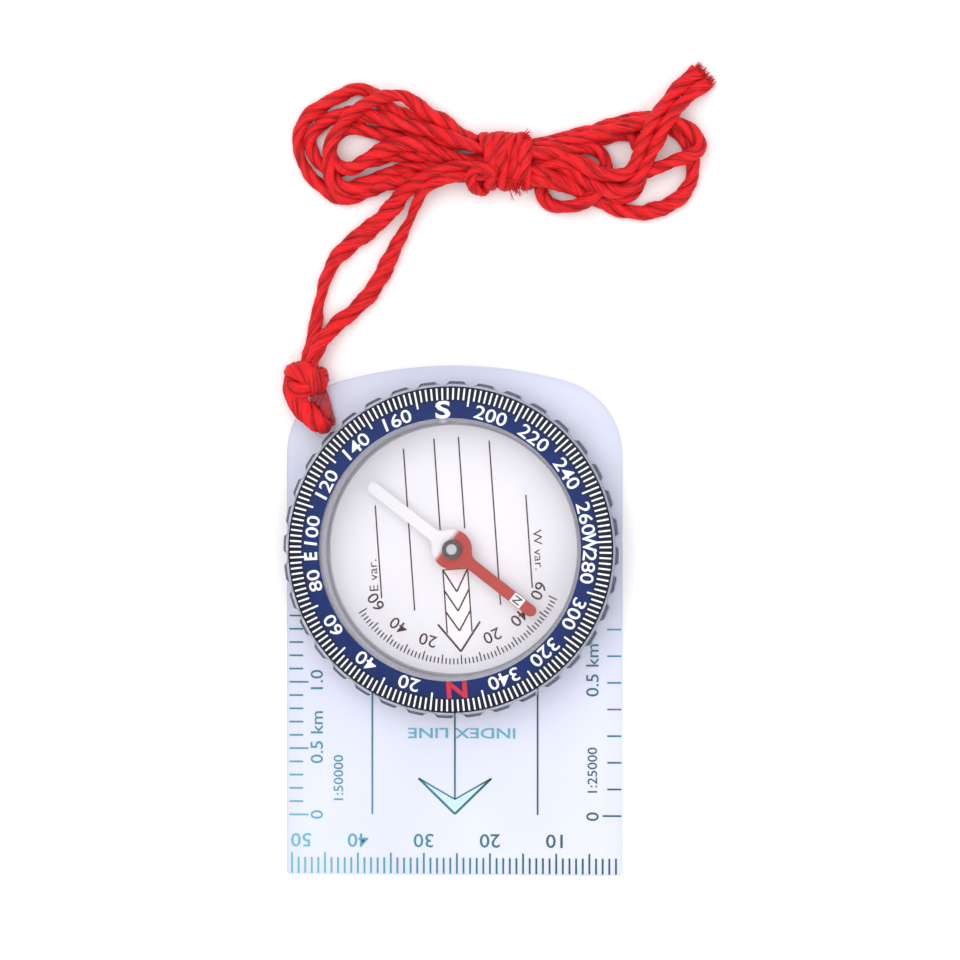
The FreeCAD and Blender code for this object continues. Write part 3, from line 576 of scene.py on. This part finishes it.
# ---- wrap: a small curl, then turns of a helix round the waist of the hank
WRAP_CENTRE = (68.9, 2.75)  # y and z, mm
WRAP_RADII = (4.1, 2.45)
WRAP_START, WRAP_LENGTH = 4.5, 6.9  # in x
WRAP_HEIGHT, WRAP_PITCH = 1.35, 8.0  # of its pressed cord, and a whole turn of its plies
WRAP_TURNS, WRAP_STEPS = 4, 8  # whole turns, and control points for each
WRAP = [
    (6.8, 67.0, 5.7, 1.5),
    (4.6, 68.2, 5.9, 1.7),
    (2.7, 66.9, 5.1, 1.8),
    (3.1, 64.6, 3.6, 2.0),
    (4.9, 64.0, 1.8, 2.2),
]
for step in range(WRAP_TURNS * WRAP_STEPS + 1):
    angle = math.radians(-100.0 + step * 360.0 / WRAP_STEPS)
    sway = 0.6 * math.sin(step * 1.9)
    WRAP.append(
        (
            WRAP_START
            + WRAP_LENGTH * step / (WRAP_TURNS * WRAP_STEPS)
            + 0.5 * math.sin(angle)
            + 0.5 * sway,
            WRAP_CENTRE[0] + (WRAP_RADII[0] + 0.2 * sway) * math.cos(angle),
            WRAP_CENTRE[1] + WRAP_RADII[1] * math.sin(angle),
            2.3 + 0.3 * math.sin(step * 0.8),
        )
    )

knot_line, knot_widths = spline_of("route_knot", KNOT)
knot_ups = knot_line - KNOT_MIDDLE
knot_heights = knot_widths * KNOT_PRESSED
knot = rope("lanyard_knot_turns", knot_line, knot_widths, knot_ups, heights=knot_heights, seed=0.6)
finish_piece(knot, red_cord, "base")
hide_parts("lanyard_knot")

wrap_line, wrap_widths = spline_of("route_wrap", WRAP)
wrap_ups = wrap_line - np.array((0.0, *WRAP_CENTRE))
wrap_ups[:, 0] = 0.0
wrap_ups /= np.linalg.norm(wrap_ups, axis=1)[:, None]
wrap_heights = np.full(len(wrap_line), WRAP_HEIGHT)
wrap = rope(
    "lanyard_wrap_turns",
    wrap_line,
    wrap_widths,
    wrap_ups,
    heights=wrap_heights,
    pitch=WRAP_PITCH,
    seed=2.2,
)
finish_piece(wrap, red_cord, "base")
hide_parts("lanyard_wrap")


def fray(name, ends, seed):
    """Loose fibres of a cut end: thin tapering closed prisms.

    ends are (place, direction, spread, length, count), in mm.
    """
    rng = random.Random(seed)
    vertices, faces = [], []
    for place, direction, spread, length, count in ends:
        axis = Vector(direction).normalized()
        side = axis.cross(Vector((0, 0, 1))).normalized()
        up = side.cross(axis)
        for _ in range(count):
            angle, radius = rng.uniform(0, 2 * math.pi), spread * math.sqrt(rng.random())
            root = Vector(place)
            root += side * radius * math.cos(angle) + up * radius * 0.8 * math.sin(angle)
            lean = side * rng.uniform(-0.35, 0.35) + up * rng.uniform(-0.2, 0.3)
            reach = length * rng.uniform(0.45, 1.0)
            thick = rng.uniform(0.07, 0.13)
            start = len(vertices)
            for part in range(5):
                t = part / 4.0
                centre = root - axis * 0.6 + axis * reach * t + lean * reach * t * t
                centre.z = max(centre.z, 0.2)
                size = thick * (1.0 - 0.6 * t)
                for corner in range(4):
                    a = corner * math.pi / 2
                    point = centre + side * size * math.cos(a) + up * size * math.sin(a)
                    vertices.append(point * MM)
            for part in range(4):
                for corner in range(4):
                    k = (corner + 1) % 4
                    a, b = start + part * 4, start + part * 4 + 4
                    faces.append((a + corner, a + k, b + k, b + corner))
            faces.append((start + 3, start + 2, start + 1, start))
            faces.append((start + 16, start + 17, start + 18, start + 19))
    piece = mesh_piece(name, vertices, faces)
    mesh = piece.data
    ply = mesh.attributes.new("ply", "FLOAT", "POINT")
    ply.data.foreach_set("value", np.full(len(vertices), 0.6))
    run = mesh.attributes.new("run", "FLOAT_VECTOR", "POINT")
    run.data.foreach_set("vector", np.array([v * 900.0 for v in vertices]).ravel())
    return piece


tail_ends = []
for side in ("left", "right"):
    line = cords[side][1]
    tail_ends.append((line[-1], line[-1] - line[-6], 1.05, 1.9, 70))
tail_fray = finish_piece(fray("lanyard_tail_fray", tail_ends, 5), red_cord, "base")

# where the wrap's own ends are tucked in
tuck_ends = [
    ((9.4, 66.0, 4.2), (0.5, -1.0, -0.25), 1.3, 3.2, 60),
    ((11.2, 72.6, 4.4), (1.0, 0.5, -0.2), 0.6, 1.6, 24),
]
tuck_fray = finish_piece(fray("lanyard_wrap_fray", tuck_ends, 9), red_cord, "base")


# ---------------------------------------------------------------- clear plastics and other finishes

MILKY_LOW, MILKY_HIGH = (0.93, 0.92, 0.955), (0.97, 0.96, 0.985)  # colours of the white haze


def clear_plastic(
    name, face_tint, side_shade_tint, gloss_rough=0.04, head_on=0.04, milky=0.0, edge_shade_tint=None
):
    """Clear plastic that light passes straight through, with a clear gloss.

    It is tinted by face_tint, and its steep sides take the side tint as painted shade, standing in
    for light lost inside the plastic. head_on is how much it reflects when seen straight on, milky
    how much of it is a white haze, and the edge tint is painted shade on its chamfers, standing in
    for the light that they bend away.
    """
    s = Shader(name)
    normal = s.add("TexCoord").outputs["Normal"]
    steep = s.math("ABSOLUTE", s.add("SeparateXYZ", {"Vector": normal}).outputs["Z"])
    cloud = s.noise(60.0, 2.0)
    soft = s.ramp(cloud, [(0.3, tuple(0.985 * c for c in face_tint)), (0.7, face_tint)])
    # painted shade: steep sides get the darker side tint, standing in for light lost inside the
    # plastic
    side = s.ramp(steep, [(0.05, 1.0), (0.85, 0.0)])
    tint = s.mix(side, soft, side_shade_tint)
    # painted shade: chamfers get the dark edge tint, standing in for the light they bend away
    if edge_shade_tint:
        edge = s.ramp(steep, [(0.36, 0.0), (0.46, 1.0), (0.64, 1.0), (0.74, 0.0)])
        tint = s.mix(edge, tint, edge_shade_tint)
    clear = s.add("BsdfTransparent", {"Color": tint}).outputs["BSDF"]
    if milky:
        haze = s.add("BsdfDiffuse", {"Color": s.ramp(cloud, [(0.3, MILKY_LOW), (0.7, MILKY_HIGH)])})
        clear = s.add("MixShader", {0: milky, 1: clear, 2: haze.outputs["BSDF"]}).outputs["Shader"]
    gloss = s.add("BsdfGlossy", {"Roughness": gloss_rough}).outputs["BSDF"]
    facing = s.add("LayerWeight", {"Blend": 0.5}).outputs["Facing"]
    reflect = s.scaled(s.math("POWER", facing, 5.0), 1.0 - head_on, head_on)
    mix = s.add("MixShader", {0: reflect, 1: clear, 2: gloss})
    return s.finish(mix.outputs["Shader"])


FINE = 0.02 * MM  # depth of the bumps of a fine finish


def from_axis(s):
    """The way from the foot of the dial's axis to a point, in metres."""
    inputs = {0: s.add("TexCoord").outputs["Object"], 1: (DIAL_X * MM, DIAL_Y * MM, 0.0)}
    return s.add("VectorMath", inputs, operation="SUBTRACT").outputs["Vector"]


def dial_radius(s):
    """Distance from the dial's axis, in mm."""
    parts = s.add("SeparateXYZ", {"Vector": from_axis(s)})
    spread = s.add("CombineXYZ", {"X": parts.outputs["X"], "Y": parts.outputs["Y"], "Z": 0.0})
    far = s.add("VectorMath", {0: spread.outputs["Vector"]}, operation="LENGTH")
    return s.math("MULTIPLY", far.outputs["Value"], 1000.0)


def scale_ring_material():
    """Printed ring: dark blue under the figures, near black under the tick marks."""
    s = Shader("scale_ring_ink")
    radius = dial_radius(s)
    step = s.scaled(radius, 0.2, -4.0)
    grain = s.noise(700.0, 3.0)
    ink = s.ramp(
        step,
        [
            (0.0, (0.009, 0.024, 0.125)),
            (0.40, (0.008, 0.021, 0.105)),
            (0.50, (0.006, 0.009, 0.028)),
            (1.0, (0.006, 0.007, 0.012)),
        ],
    )
    worn = s.mix(s.ramp(grain, [(0.5, 0.0), (0.9, 0.12)]), ink, (0.05, 0.08, 0.22))
    return s.finish(
        surface_of(s, base=worn, rough=0.45, normal=s.bump(grain, 0.15, FINE), specular=0.15)
    )


def speckled(name, low, high, rough, scale=500.0, bump=0.2, **more):
    """A plain finish whose colour and roughness vary slightly over the surface."""
    s = Shader(name)
    grain = s.noise(scale, 4.0)
    colour = s.ramp(grain, [(0.3, low), (0.7, high)])
    uneven = s.scaled(grain, 0.15, rough - 0.07)
    normal = s.bump(grain, bump, FINE)
    return s.finish(surface_of(s, base=colour, rough=uneven, normal=normal, **more))


def brushed_metal(name, low, high, rough):
    """Turned metal with fine rings round the dial's axis."""
    s = Shader(name)
    radial = s.add("CombineXYZ", {"X": dial_radius(s)}).outputs["Vector"]
    rings = s.noise(14.0, 3.0, 0.5, radial)
    colour = s.ramp(rings, [(0.3, low), (0.7, high)])
    normal = s.bump(rings, 0.3, FINE)
    return s.finish(surface_of(s, base=colour, rough=rough, metal=1.0, normal=normal))


def needle_material():
    """Painted blade: red on the north arm, white on the other, meeting at the hub."""
    s = Shader("needle_paint")
    north = (math.cos(NEEDLE_TURN), math.sin(NEEDLE_TURN), 0.0)
    ahead = s.add("VectorMath", {0: from_axis(s), 1: north}, operation="DOT_PRODUCT")
    grain = s.noise(600.0, 3.0)
    edge = s.scaled(ahead.outputs["Value"], 420.0, 0.85)
    wavy = s.math("ADD", edge, s.math("MULTIPLY", grain, 0.1))
    paint = s.ramp(wavy, [(0.3, (0.73, 0.72, 0.745)), (0.62, (0.40, 0.022, 0.015))])
    rubbed = s.mix(s.ramp(grain, [(0.45, 0.0), (0.85, 0.25)]), paint, (0.48, 0.065, 0.045))
    coat = s.mix(s.ramp(wavy, [(0.5, 0.0), (0.62, 1.0)]), paint, rubbed)
    normal = s.bump(grain, 0.2, FINE)
    return s.finish(surface_of(s, base=coat, rough=0.42, normal=normal, specular=0.35))


def print_ink(name, low, high):
    """Printed ink with a slightly uneven density."""
    s = Shader(name)
    grain = s.noise(1600.0, 3.0, 0.7)
    colour = s.ramp(grain, [(0.35, low), (0.65, high)])
    return s.finish(surface_of(s, base=colour, rough=0.5, specular=0.3))


# the second tint of each clear plastic is painted shade on its steep sides
plate_clear = clear_plastic(
    "clear_plate", (0.928, 0.936, 0.976), (0.84, 0.86, 0.95), gloss_rough=0.06, head_on=0.012
)
dial_clear = clear_plastic(
    "clear_dial",
    (0.975, 0.975, 0.982),
    (0.80, 0.80, 0.845),
    head_on=0.012,
    # painted shade on the bezel's chamfers
    edge_shade_tint=(0.26, 0.26, 0.30),
)
capsule_clear = clear_plastic(
    "clear_capsule", (0.998, 0.996, 1.0), (0.90, 0.89, 0.93), head_on=0.008
)
disc_clear = clear_plastic(
    "printed_disc",
    (0.985, 0.978, 0.995),
    (0.92, 0.91, 0.95),
    gloss_rough=0.3,
    head_on=0.003,
    milky=0.8,
)
cap_black = speckled(
    "cap_black", (0.010, 0.010, 0.011), (0.030, 0.030, 0.032), 0.32, specular=0.5
)

finishes = {
    "baseplate": plate_clear,
    "bezel": dial_clear,
    "capsule_cup": capsule_clear,
    "capsule_cover": capsule_clear,
    "orienting_disc": disc_clear,
    "scale_ring": scale_ring_material(),
    # the second tint of these clear plastics is painted shade on their steep sides
    "friction_ring": clear_plastic("friction_plastic", (0.93, 0.93, 0.95), (0.7, 0.7, 0.75), 0.25),
    "retaining_ring": clear_plastic("clear_ring", (0.93, 0.93, 0.95), (0.80, 0.80, 0.84), 0.12),
    "capsule_seal": clear_plastic("seal_rubber", (0.92, 0.92, 0.94), (0.80, 0.80, 0.84), 0.3),
    "filler_plug": speckled("plug_plastic", (0.78, 0.78, 0.80), (0.86, 0.86, 0.88), 0.35),
    "pivot_bush": brushed_metal("bush_brass", (0.55, 0.40, 0.18), (0.75, 0.58, 0.30), 0.28),
    "pivot_pin": brushed_metal("pin_steel", (0.50, 0.51, 0.53), (0.72, 0.73, 0.75), 0.22),
    "needle_blade": needle_material(),
    "needle_cap": cap_black,
    "jewel_bearing": speckled("jewel", (0.30, 0.32, 0.35), (0.62, 0.64, 0.68), 0.15, coat=0.4),
}
for node_name, material in finishes.items():
    data = nodes[node_name].data
    data.materials.clear()
    data.materials.append(material)


# ---------------------------------------------------------------- printed marks

CAPITAL = 0.729  # height of a capital letter in the built-in face, of its size
JOIN = 1e-5  # how near two points of a letter's outline are joined


def twice_area(outline):
    """Twice an outline's area, above zero where it runs counter-clockwise."""
    return sum(a[0] * b[1] - b[0] * a[1] for a, b in zip(outline, [*outline[1:], outline[0]]))


class Marks:
    """Flat printed shapes gathered into one thin closed mesh.

    Shapes are in mm on a flat sheet, and place(x, y, level) puts a point where it belongs.
    """

    def __init__(self, name, thickness, place):
        self.name = name
        self.thickness = thickness
        self.place = place
        self.vertices = []
        self.faces = []

    def shape(self, outline, triangles):
        """One closed flat shape: its points, and its faces seen from above, by point numbers."""
        start, count = len(self.vertices), len(outline)
        for level in (0.0, self.thickness):
            self.vertices += [self.place(x, y, level) for x, y in outline]
        edges = {}
        for face in triangles:
            self.faces.append([start + count + i for i in face])
            self.faces.append([start + i for i in reversed(face)])
            for a, b in zip(face, [*face[1:], face[0]]):
                edges[(a, b)] = True
        for a, b in edges:
            if (b, a) not in edges:
                self.faces.append([start + a, start + b, start + count + b, start + count + a])

    def polygon(self, outline):
        """A flat shape of one face."""
        if twice_area(outline) < 0:
            outline = outline[::-1]
        self.shape(outline, [list(range(len(outline)))])

    def line(self, start, end, width):
        """A straight stroke, cut into short lengths so that it can follow a curved sheet."""
        start, end = Vector(start), Vector(end)
        side = (end - start).normalized().orthogonal() * width / 2.0
        pieces = max(1, round((end - start).length / 6.0))
        points = []
        for i in range(pieces + 1):
            middle = start.lerp(end, i / pieces)
            points += [middle - side, middle + side]
        faces = [[2 * i, 2 * i + 1, 2 * i + 3, 2 * i + 2] for i in range(pieces)]
        if twice_area([points[i] for i in faces[0]]) < 0:
            faces = [face[::-1] for face in faces]
        self.shape([(p.x, p.y) for p in points], faces)

    def stroke(self, points, width):
        """Straight strokes from point to point."""
        for start, end in zip(points, points[1:]):
            self.line(start, end, width)

    def text(self, words, centre, height, turn, weight=0.0, stretch=1.0):
        """Words in the plain built-in face, centred on a point and turned.

        height is that of a capital letter, in mm.
        """
        curve = bpy.data.curves.new("words", "FONT")
        curve.body = words
        curve.align_x = "CENTER"
        curve.resolution_u = 3
        curve.offset = weight
        holder = bpy.data.objects.new("words", curve)
        mesh = bpy.data.meshes.new_from_object(holder)
        bpy.data.objects.remove(holder)
        bpy.data.curves.remove(curve)
        shape = bmesh.new()
        shape.from_mesh(mesh)
        bpy.data.meshes.remove(mesh)
        bmesh.ops.remove_doubles(shape, verts=shape.verts, dist=JOIN)
        bmesh.ops.dissolve_degenerate(shape, edges=shape.edges, dist=JOIN)
        shape.normal_update()
        scale = height / CAPITAL
        cos, sin = math.cos(turn), math.sin(turn)
        outline = []
        shape.verts.ensure_lookup_table()
        for v in shape.verts:
            x, y = v.co.x * scale * stretch, (v.co.y - CAPITAL / 2.0) * scale
            outline.append((centre[0] + x * cos - y * sin, centre[1] + x * sin + y * cos))
        faces = []
        for face in shape.faces:
            corners = face.verts if face.normal.z > 0 else reversed(face.verts)
            faces.append([v.index for v in corners])
        shape.free()
        self.shape(outline, faces)

    def piece(self, material, body, slot):
        """Make the gathered shapes one piece."""
        made = mesh_piece(self.name, self.vertices, self.faces, smooth=False)
        return finish_piece(made, material, body)


def turned(x, y, angle):
    """A point turned about the drawing's origin."""
    return x * math.cos(angle) - y * math.sin(angle), x * math.sin(angle) + y * math.cos(angle)


def ray(radius, angle):
    """The point of a drawing at a radius and an angle."""
    return radius * math.cos(angle), radius * math.sin(angle)


CONE_INNER = (19.65, 7.75)  # radius and height of the scale ring's top, mm
CONE_OUTER = (24.4, 6.75)
PRINT_LIFT = 0.012  # how deep the print sits in the ring, mm
DISC_PRINT_Z = 1.49  # where each drawing's underside lies, mm
PLATE_PRINT_Z = -0.02
NEEDLE_PRINT_Z = 4.345


def on_cone(x, y, level):
    """A point of the dial's drawing on the scale ring's sloped top."""
    radius = math.hypot(x, y)
    share = (radius - CONE_INNER[0]) / (CONE_OUTER[0] - CONE_INNER[0])
    z = CONE_INNER[1] + share * (CONE_OUTER[1] - CONE_INNER[1]) + level - PRINT_LIFT
    x, y = turned(x, y, DIAL_TURN)
    return ((DIAL_X + x) * MM, (DIAL_Y + y) * MM, z * MM)


def on_disc(x, y, level):
    """A point of the capsule floor's drawing on the printed disc."""
    x, y = turned(x, y, CAPSULE_TURN)
    return ((DIAL_X + x) * MM, (DIAL_Y + y) * MM, (DISC_PRINT_Z + level) * MM)


def under_plate(x, y, level):
    """A point of the plate's drawing, from the middle of the ruler edge, on its underside."""
    return (x * MM, (y - PLATE_HALF_Y) * MM, (PLATE_PRINT_Z + level) * MM)


# dial: a tick every two degrees, a figure every twenty, letters at the quarters, south at the top
TICK_OUT, TICK_IN, LONG_TICK_IN = 24.15, 22.4, 21.5  # radii in mm
FIGURES_AT, LETTERS_AT = 20.95, 21.0
dial_marks = Marks("dial_marks", 0.03, on_cone)
for tick in range(180):
    degrees = tick * 2
    angle = math.radians(-90.0 - degrees)
    inner = LONG_TICK_IN if degrees % 20 == 10 else TICK_IN
    dial_marks.line(ray(inner, angle), ray(TICK_OUT, angle), 0.26)
for degrees in range(20, 360, 20):
    if degrees == 180:  # the letter S stands here
        continue
    angle = math.radians(-90.0 - degrees)
    dial_marks.text(
        str(degrees),
        ray(FIGURES_AT, angle),
        2.05,
        angle - math.pi / 2,
        weight=0.008,
        stretch=1.2,
    )
for letter, degrees in (("E", 90.0), ("S", 180.0), ("W", 270.0)):
    angle = math.radians(-90.0 - degrees)
    dial_marks.text(
        letter,
        ray(LETTERS_AT, angle),
        2.6 if letter == "S" else 2.0,
        angle - math.pi / 2,
        weight=0.025,
        stretch=1.45 if letter == "S" else 0.95,
    )
white_ink = print_ink("white_ink", (0.80, 0.82, 0.86), (0.92, 0.93, 0.95))
dial_marks.piece(white_ink, "dial", "navy_scale")

north_mark = Marks("north_mark", 0.03, on_cone)
north_mark.text("N", (0.0, -LETTERS_AT), 2.5, math.pi, weight=0.03, stretch=1.3)
north_mark.piece(
    print_ink("red_ink", (0.50, 0.012, 0.035), (0.60, 0.025, 0.05)), "dial", "navy_scale"
)

# capsule floor: meridian lines, orienting arrow, magnetic variation scale
VARIATION_OUT, VARIATION_IN, LONG_VARIATION_IN = 17.3, 16.4, 15.9  # radii in mm
VARIATION_FIGURES_AT = 14.3
floor_print = Marks("floor_print", 0.02, on_disc)
for x, low, high in (
    (-11.4, -6.6, 7.4),
    (11.4, -6.6, 7.4),
    (-6.55, -8.8, 15.6),
    (6.45, -8.8, 15.9),
    (-1.86, 3.0, 16.8),
    (1.86, 3.0, 16.8),
    (-1.87, -12.5, -3.0),
    (1.87, -12.5, -3.0),
):
    floor_print.line((x, low), (x, high), 0.22)
for top, low in ((-3.0, -6.4), (-6.1, -9.3), (-9.3, -12.3)):
    floor_print.stroke([(-1.87, top), (0.0, low), (1.87, top)], 0.25)
floor_print.stroke([(-3.2, -11.1), (0.0, -15.4), (3.2, -11.1)], 0.3)
floor_print.line((-1.87, -3.0), (1.87, -3.0), 0.17)
for step in range(61):
    degrees = -60 + step * 2
    angle = math.radians(-90.0 + degrees)
    inner = LONG_VARIATION_IN if degrees % 10 == 0 else VARIATION_IN
    floor_print.line(ray(inner, angle), ray(VARIATION_OUT, angle), 0.2)
for degrees in (20, 40, 60):
    for side in (-1, 1):
        angle = math.radians(-90.0 + side * degrees)
        floor_print.text(
            str(degrees),
            ray(VARIATION_FIGURES_AT, angle),
            1.85,
            angle - math.pi / 2,
            weight=0.006,
            stretch=1.1,
        )
floor_print.text("E var.", (-12.5, -3.1), 1.4, math.pi / 2, stretch=1.15)
floor_print.text("W var.", (12.75, -1.0), 1.4, -math.pi / 2, stretch=1.15)
floor_print.piece(
    print_ink("plum_ink", (0.045, 0.010, 0.016), (0.085, 0.022, 0.028)), "dial", "disc_print"
)

arrow_fill = Marks("arrow_fill", 0.016, on_disc)
arrow_fill.polygon([(-1.78, -12.2), (0.0, -14.9), (1.78, -12.2), (1.78, -3.08), (-1.78, -3.08)])
arrow_fill.piece(
    print_ink("arrow_tint", (0.88, 0.80, 0.81), (0.93, 0.87, 0.87)), "dial", "disc_print"
)

# base plate: travel arrow, map scales and ruler, printed on the underside
plate_print = Marks("plate_print", 0.03, under_plate)
plate_print.line((0.0, 11.3), (0.0, 27.4), 0.26)
plate_print.stroke([(-5.5, 14.46), (0.0, 9.1), (5.5, 14.46)], 0.34)
plate_print.stroke([(-5.4, 14.4), (0.0, 11.3), (5.4, 14.4)], 0.22)
for x in (-12.5, 12.5):
    plate_print.line((x, 9.0), (x, 31.6), 0.26)
RULER_ZERO = 25.3  # x of the ruler's zero, mm
MAP_ZERO = 8.9  # y of both map scales' zero, mm
SCALE_EDGE = 25.1  # how far out the map scales' lines begin, mm
for k in range(1, 51):
    length = 3.2 if k % 5 == 0 else 2.5
    plate_print.line((RULER_ZERO - k, 0.12), (RULER_ZERO - k, length), 0.28)
for k in range(10, 51, 10):
    shift = 1.4 if k == 50 else 0.0
    plate_print.text(
        str(k), (RULER_ZERO - k + shift, 5.0), 2.1, math.pi, weight=0.006, stretch=1.12
    )
for step in range(16):
    y, length = MAP_ZERO + 2.0 * step, 2.9 if step % 5 == 0 else 2.1
    plate_print.line((-SCALE_EDGE, y), (-SCALE_EDGE + length, y), 0.25)
for step in range(8):
    y, length = MAP_ZERO + 4.0 * step, 2.8 if step == 0 else 2.1
    plate_print.line((SCALE_EDGE, y), (SCALE_EDGE - length, y), 0.25)
for words, x, y, height in (
    ("0", -21.0, 8.9, 1.95),
    ("0.5 km", -21.0, 20.6, 1.95),
    ("1.0", -21.0, 29.0, 1.95),
    ("1:50000", -17.7, 14.3, 1.5),
    ("0", 20.7, 8.8, 1.95),
    ("1:25000", 20.7, 15.6, 1.5),
    ("0.5 km", 20.7, 30.8, 1.95),
):
    plate_print.text(words, (x, y), height, math.pi / 2, weight=0.004, stretch=1.1)


def plate_ink():
    """Blue-green ink, palest at the left end of the ruler and by the dial on the right."""
    s = Shader("cyan_ink")
    place = s.add("SeparateXYZ", {"Vector": s.add("TexCoord").outputs["Object"]})
    x, y = place.outputs["X"], place.outputs["Y"]
    share = s.math("ADD", s.scaled(y, 14.0, 1.05), s.math("MULTIPLY", x, 18.0))
    corner = s.math("ADD", s.scaled(x, -60.0, 1.76), s.math("MULTIPLY", y, -18.0))
    share = s.math("MINIMUM", share, corner)
    grain = s.noise(1600.0, 3.0, 0.7)
    uneven = s.math("ADD", share, s.math("MULTIPLY", grain, 0.12))
    colour = s.ramp(
        uneven,
        [(0.2, (0.15, 0.50, 0.62)), (0.5, (0.05, 0.25, 0.33)), (0.85, (0.012, 0.085, 0.11))],
    )
    return s.finish(surface_of(s, base=colour, rough=0.5, specular=0.3))


plate_print.piece(plate_ink(), "base", "clear_plate")

caption = Marks("index_caption", 0.028, under_plate)
caption.text("INDEX LINE", (1.1, 21.2), 1.6, math.pi, weight=0.012, stretch=1.42)
caption.piece(
    print_ink("caption_cyan", (0.09, 0.36, 0.46), (0.17, 0.50, 0.60)), "base", "clear_plate"
)

arrow_tint = Marks("arrow_tint", 0.024, under_plate)
arrow_tint.shape([(0.0, 9.2), (5.3, 14.3), (0.0, 11.26), (-5.3, 14.3)], [[0, 1, 2], [0, 2, 3]])
arrow_tint.piece(
    print_ink("pale_cyan", (0.55, 0.78, 0.84), (0.66, 0.86, 0.91)), "base", "clear_plate"
)


def on_blade(x, y, level):
    """A point of the needle's drawing, whose +X is the north arm, on the blade."""
    x, y = turned(x, y, NEEDLE_TURN)
    return ((DIAL_X + x) * MM, (DIAL_Y + y) * MM, (NEEDLE_PRINT_Z + level) * MM)


# needle: white patch with a small north letter near the tip
needle_patch = Marks("needle_patch", 0.012, on_blade)
needle_patch.polygon([(11.5, -0.8), (13.4, -0.8), (13.4, 0.8), (11.5, 0.8)])
needle_patch.piece(white_ink, "needle", "needle_paint")
needle_letter = Marks("needle_letter", 0.022, on_blade)
needle_letter.text("N", (12.45, 0.0), 1.25, -math.pi / 2, weight=0.02)
needle_letter.piece(
    print_ink("needle_black", (0.02, 0.02, 0.02), (0.05, 0.05, 0.05)), "needle", "needle_paint"
)


# ---------------------------------------------------------------- floor and light

FLOOR_HALF = 3.0
floor = mesh_piece(
    "floor",
    [
        (-FLOOR_HALF, -FLOOR_HALF, FLOOR_Z),
        (FLOOR_HALF, -FLOOR_HALF, FLOOR_Z),
        (FLOOR_HALF, FLOOR_HALF, FLOOR_Z),
        (-FLOOR_HALF, FLOOR_HALF, FLOOR_Z),
    ],
    [(0, 1, 2, 3)],
)
floor.data.materials.append(
    speckled("pale_floor", (0.90, 0.90, 0.905), (0.93, 0.93, 0.935), 0.8, scale=6.0, bump=0.0)
)


LAMPS_FACE = Vector((0.0, 0.02, 0.0))  # m


def area_light(name, place, size, power):
    """A square lamp. Its place and size are in metres, its power in watts."""
    data = bpy.data.lights.new(name, "AREA")
    data.shape = "SQUARE"
    data.size = size
    data.energy = power
    light = bpy.data.objects.new(name, data)
    turn = (LAMPS_FACE - Vector(place)).to_track_quat("-Z", "Y").to_matrix().to_4x4()
    light.matrix_world = Matrix.Translation(place) @ turn
    bpy.context.scene.collection.objects.link(light)


area_light("key", (-0.35, 0.45, 1.6), 1.5, 11.2)
area_light("fill", (0.5, -0.35, 1.5), 1.4, 6.8)
world = bpy.data.worlds.new("studio")
world.use_nodes = True
background = world.node_tree.nodes["Background"]
background.inputs["Color"].default_value = (1.0, 1.0, 1.0, 1.0)
background.inputs["Strength"].default_value = 0.85
bpy.context.scene.world = world
bpy.context.scene.view_settings.view_transform = "Standard"
bpy.context.scene.cycles.transparent_max_bounces = 48  # light passes many clear walls
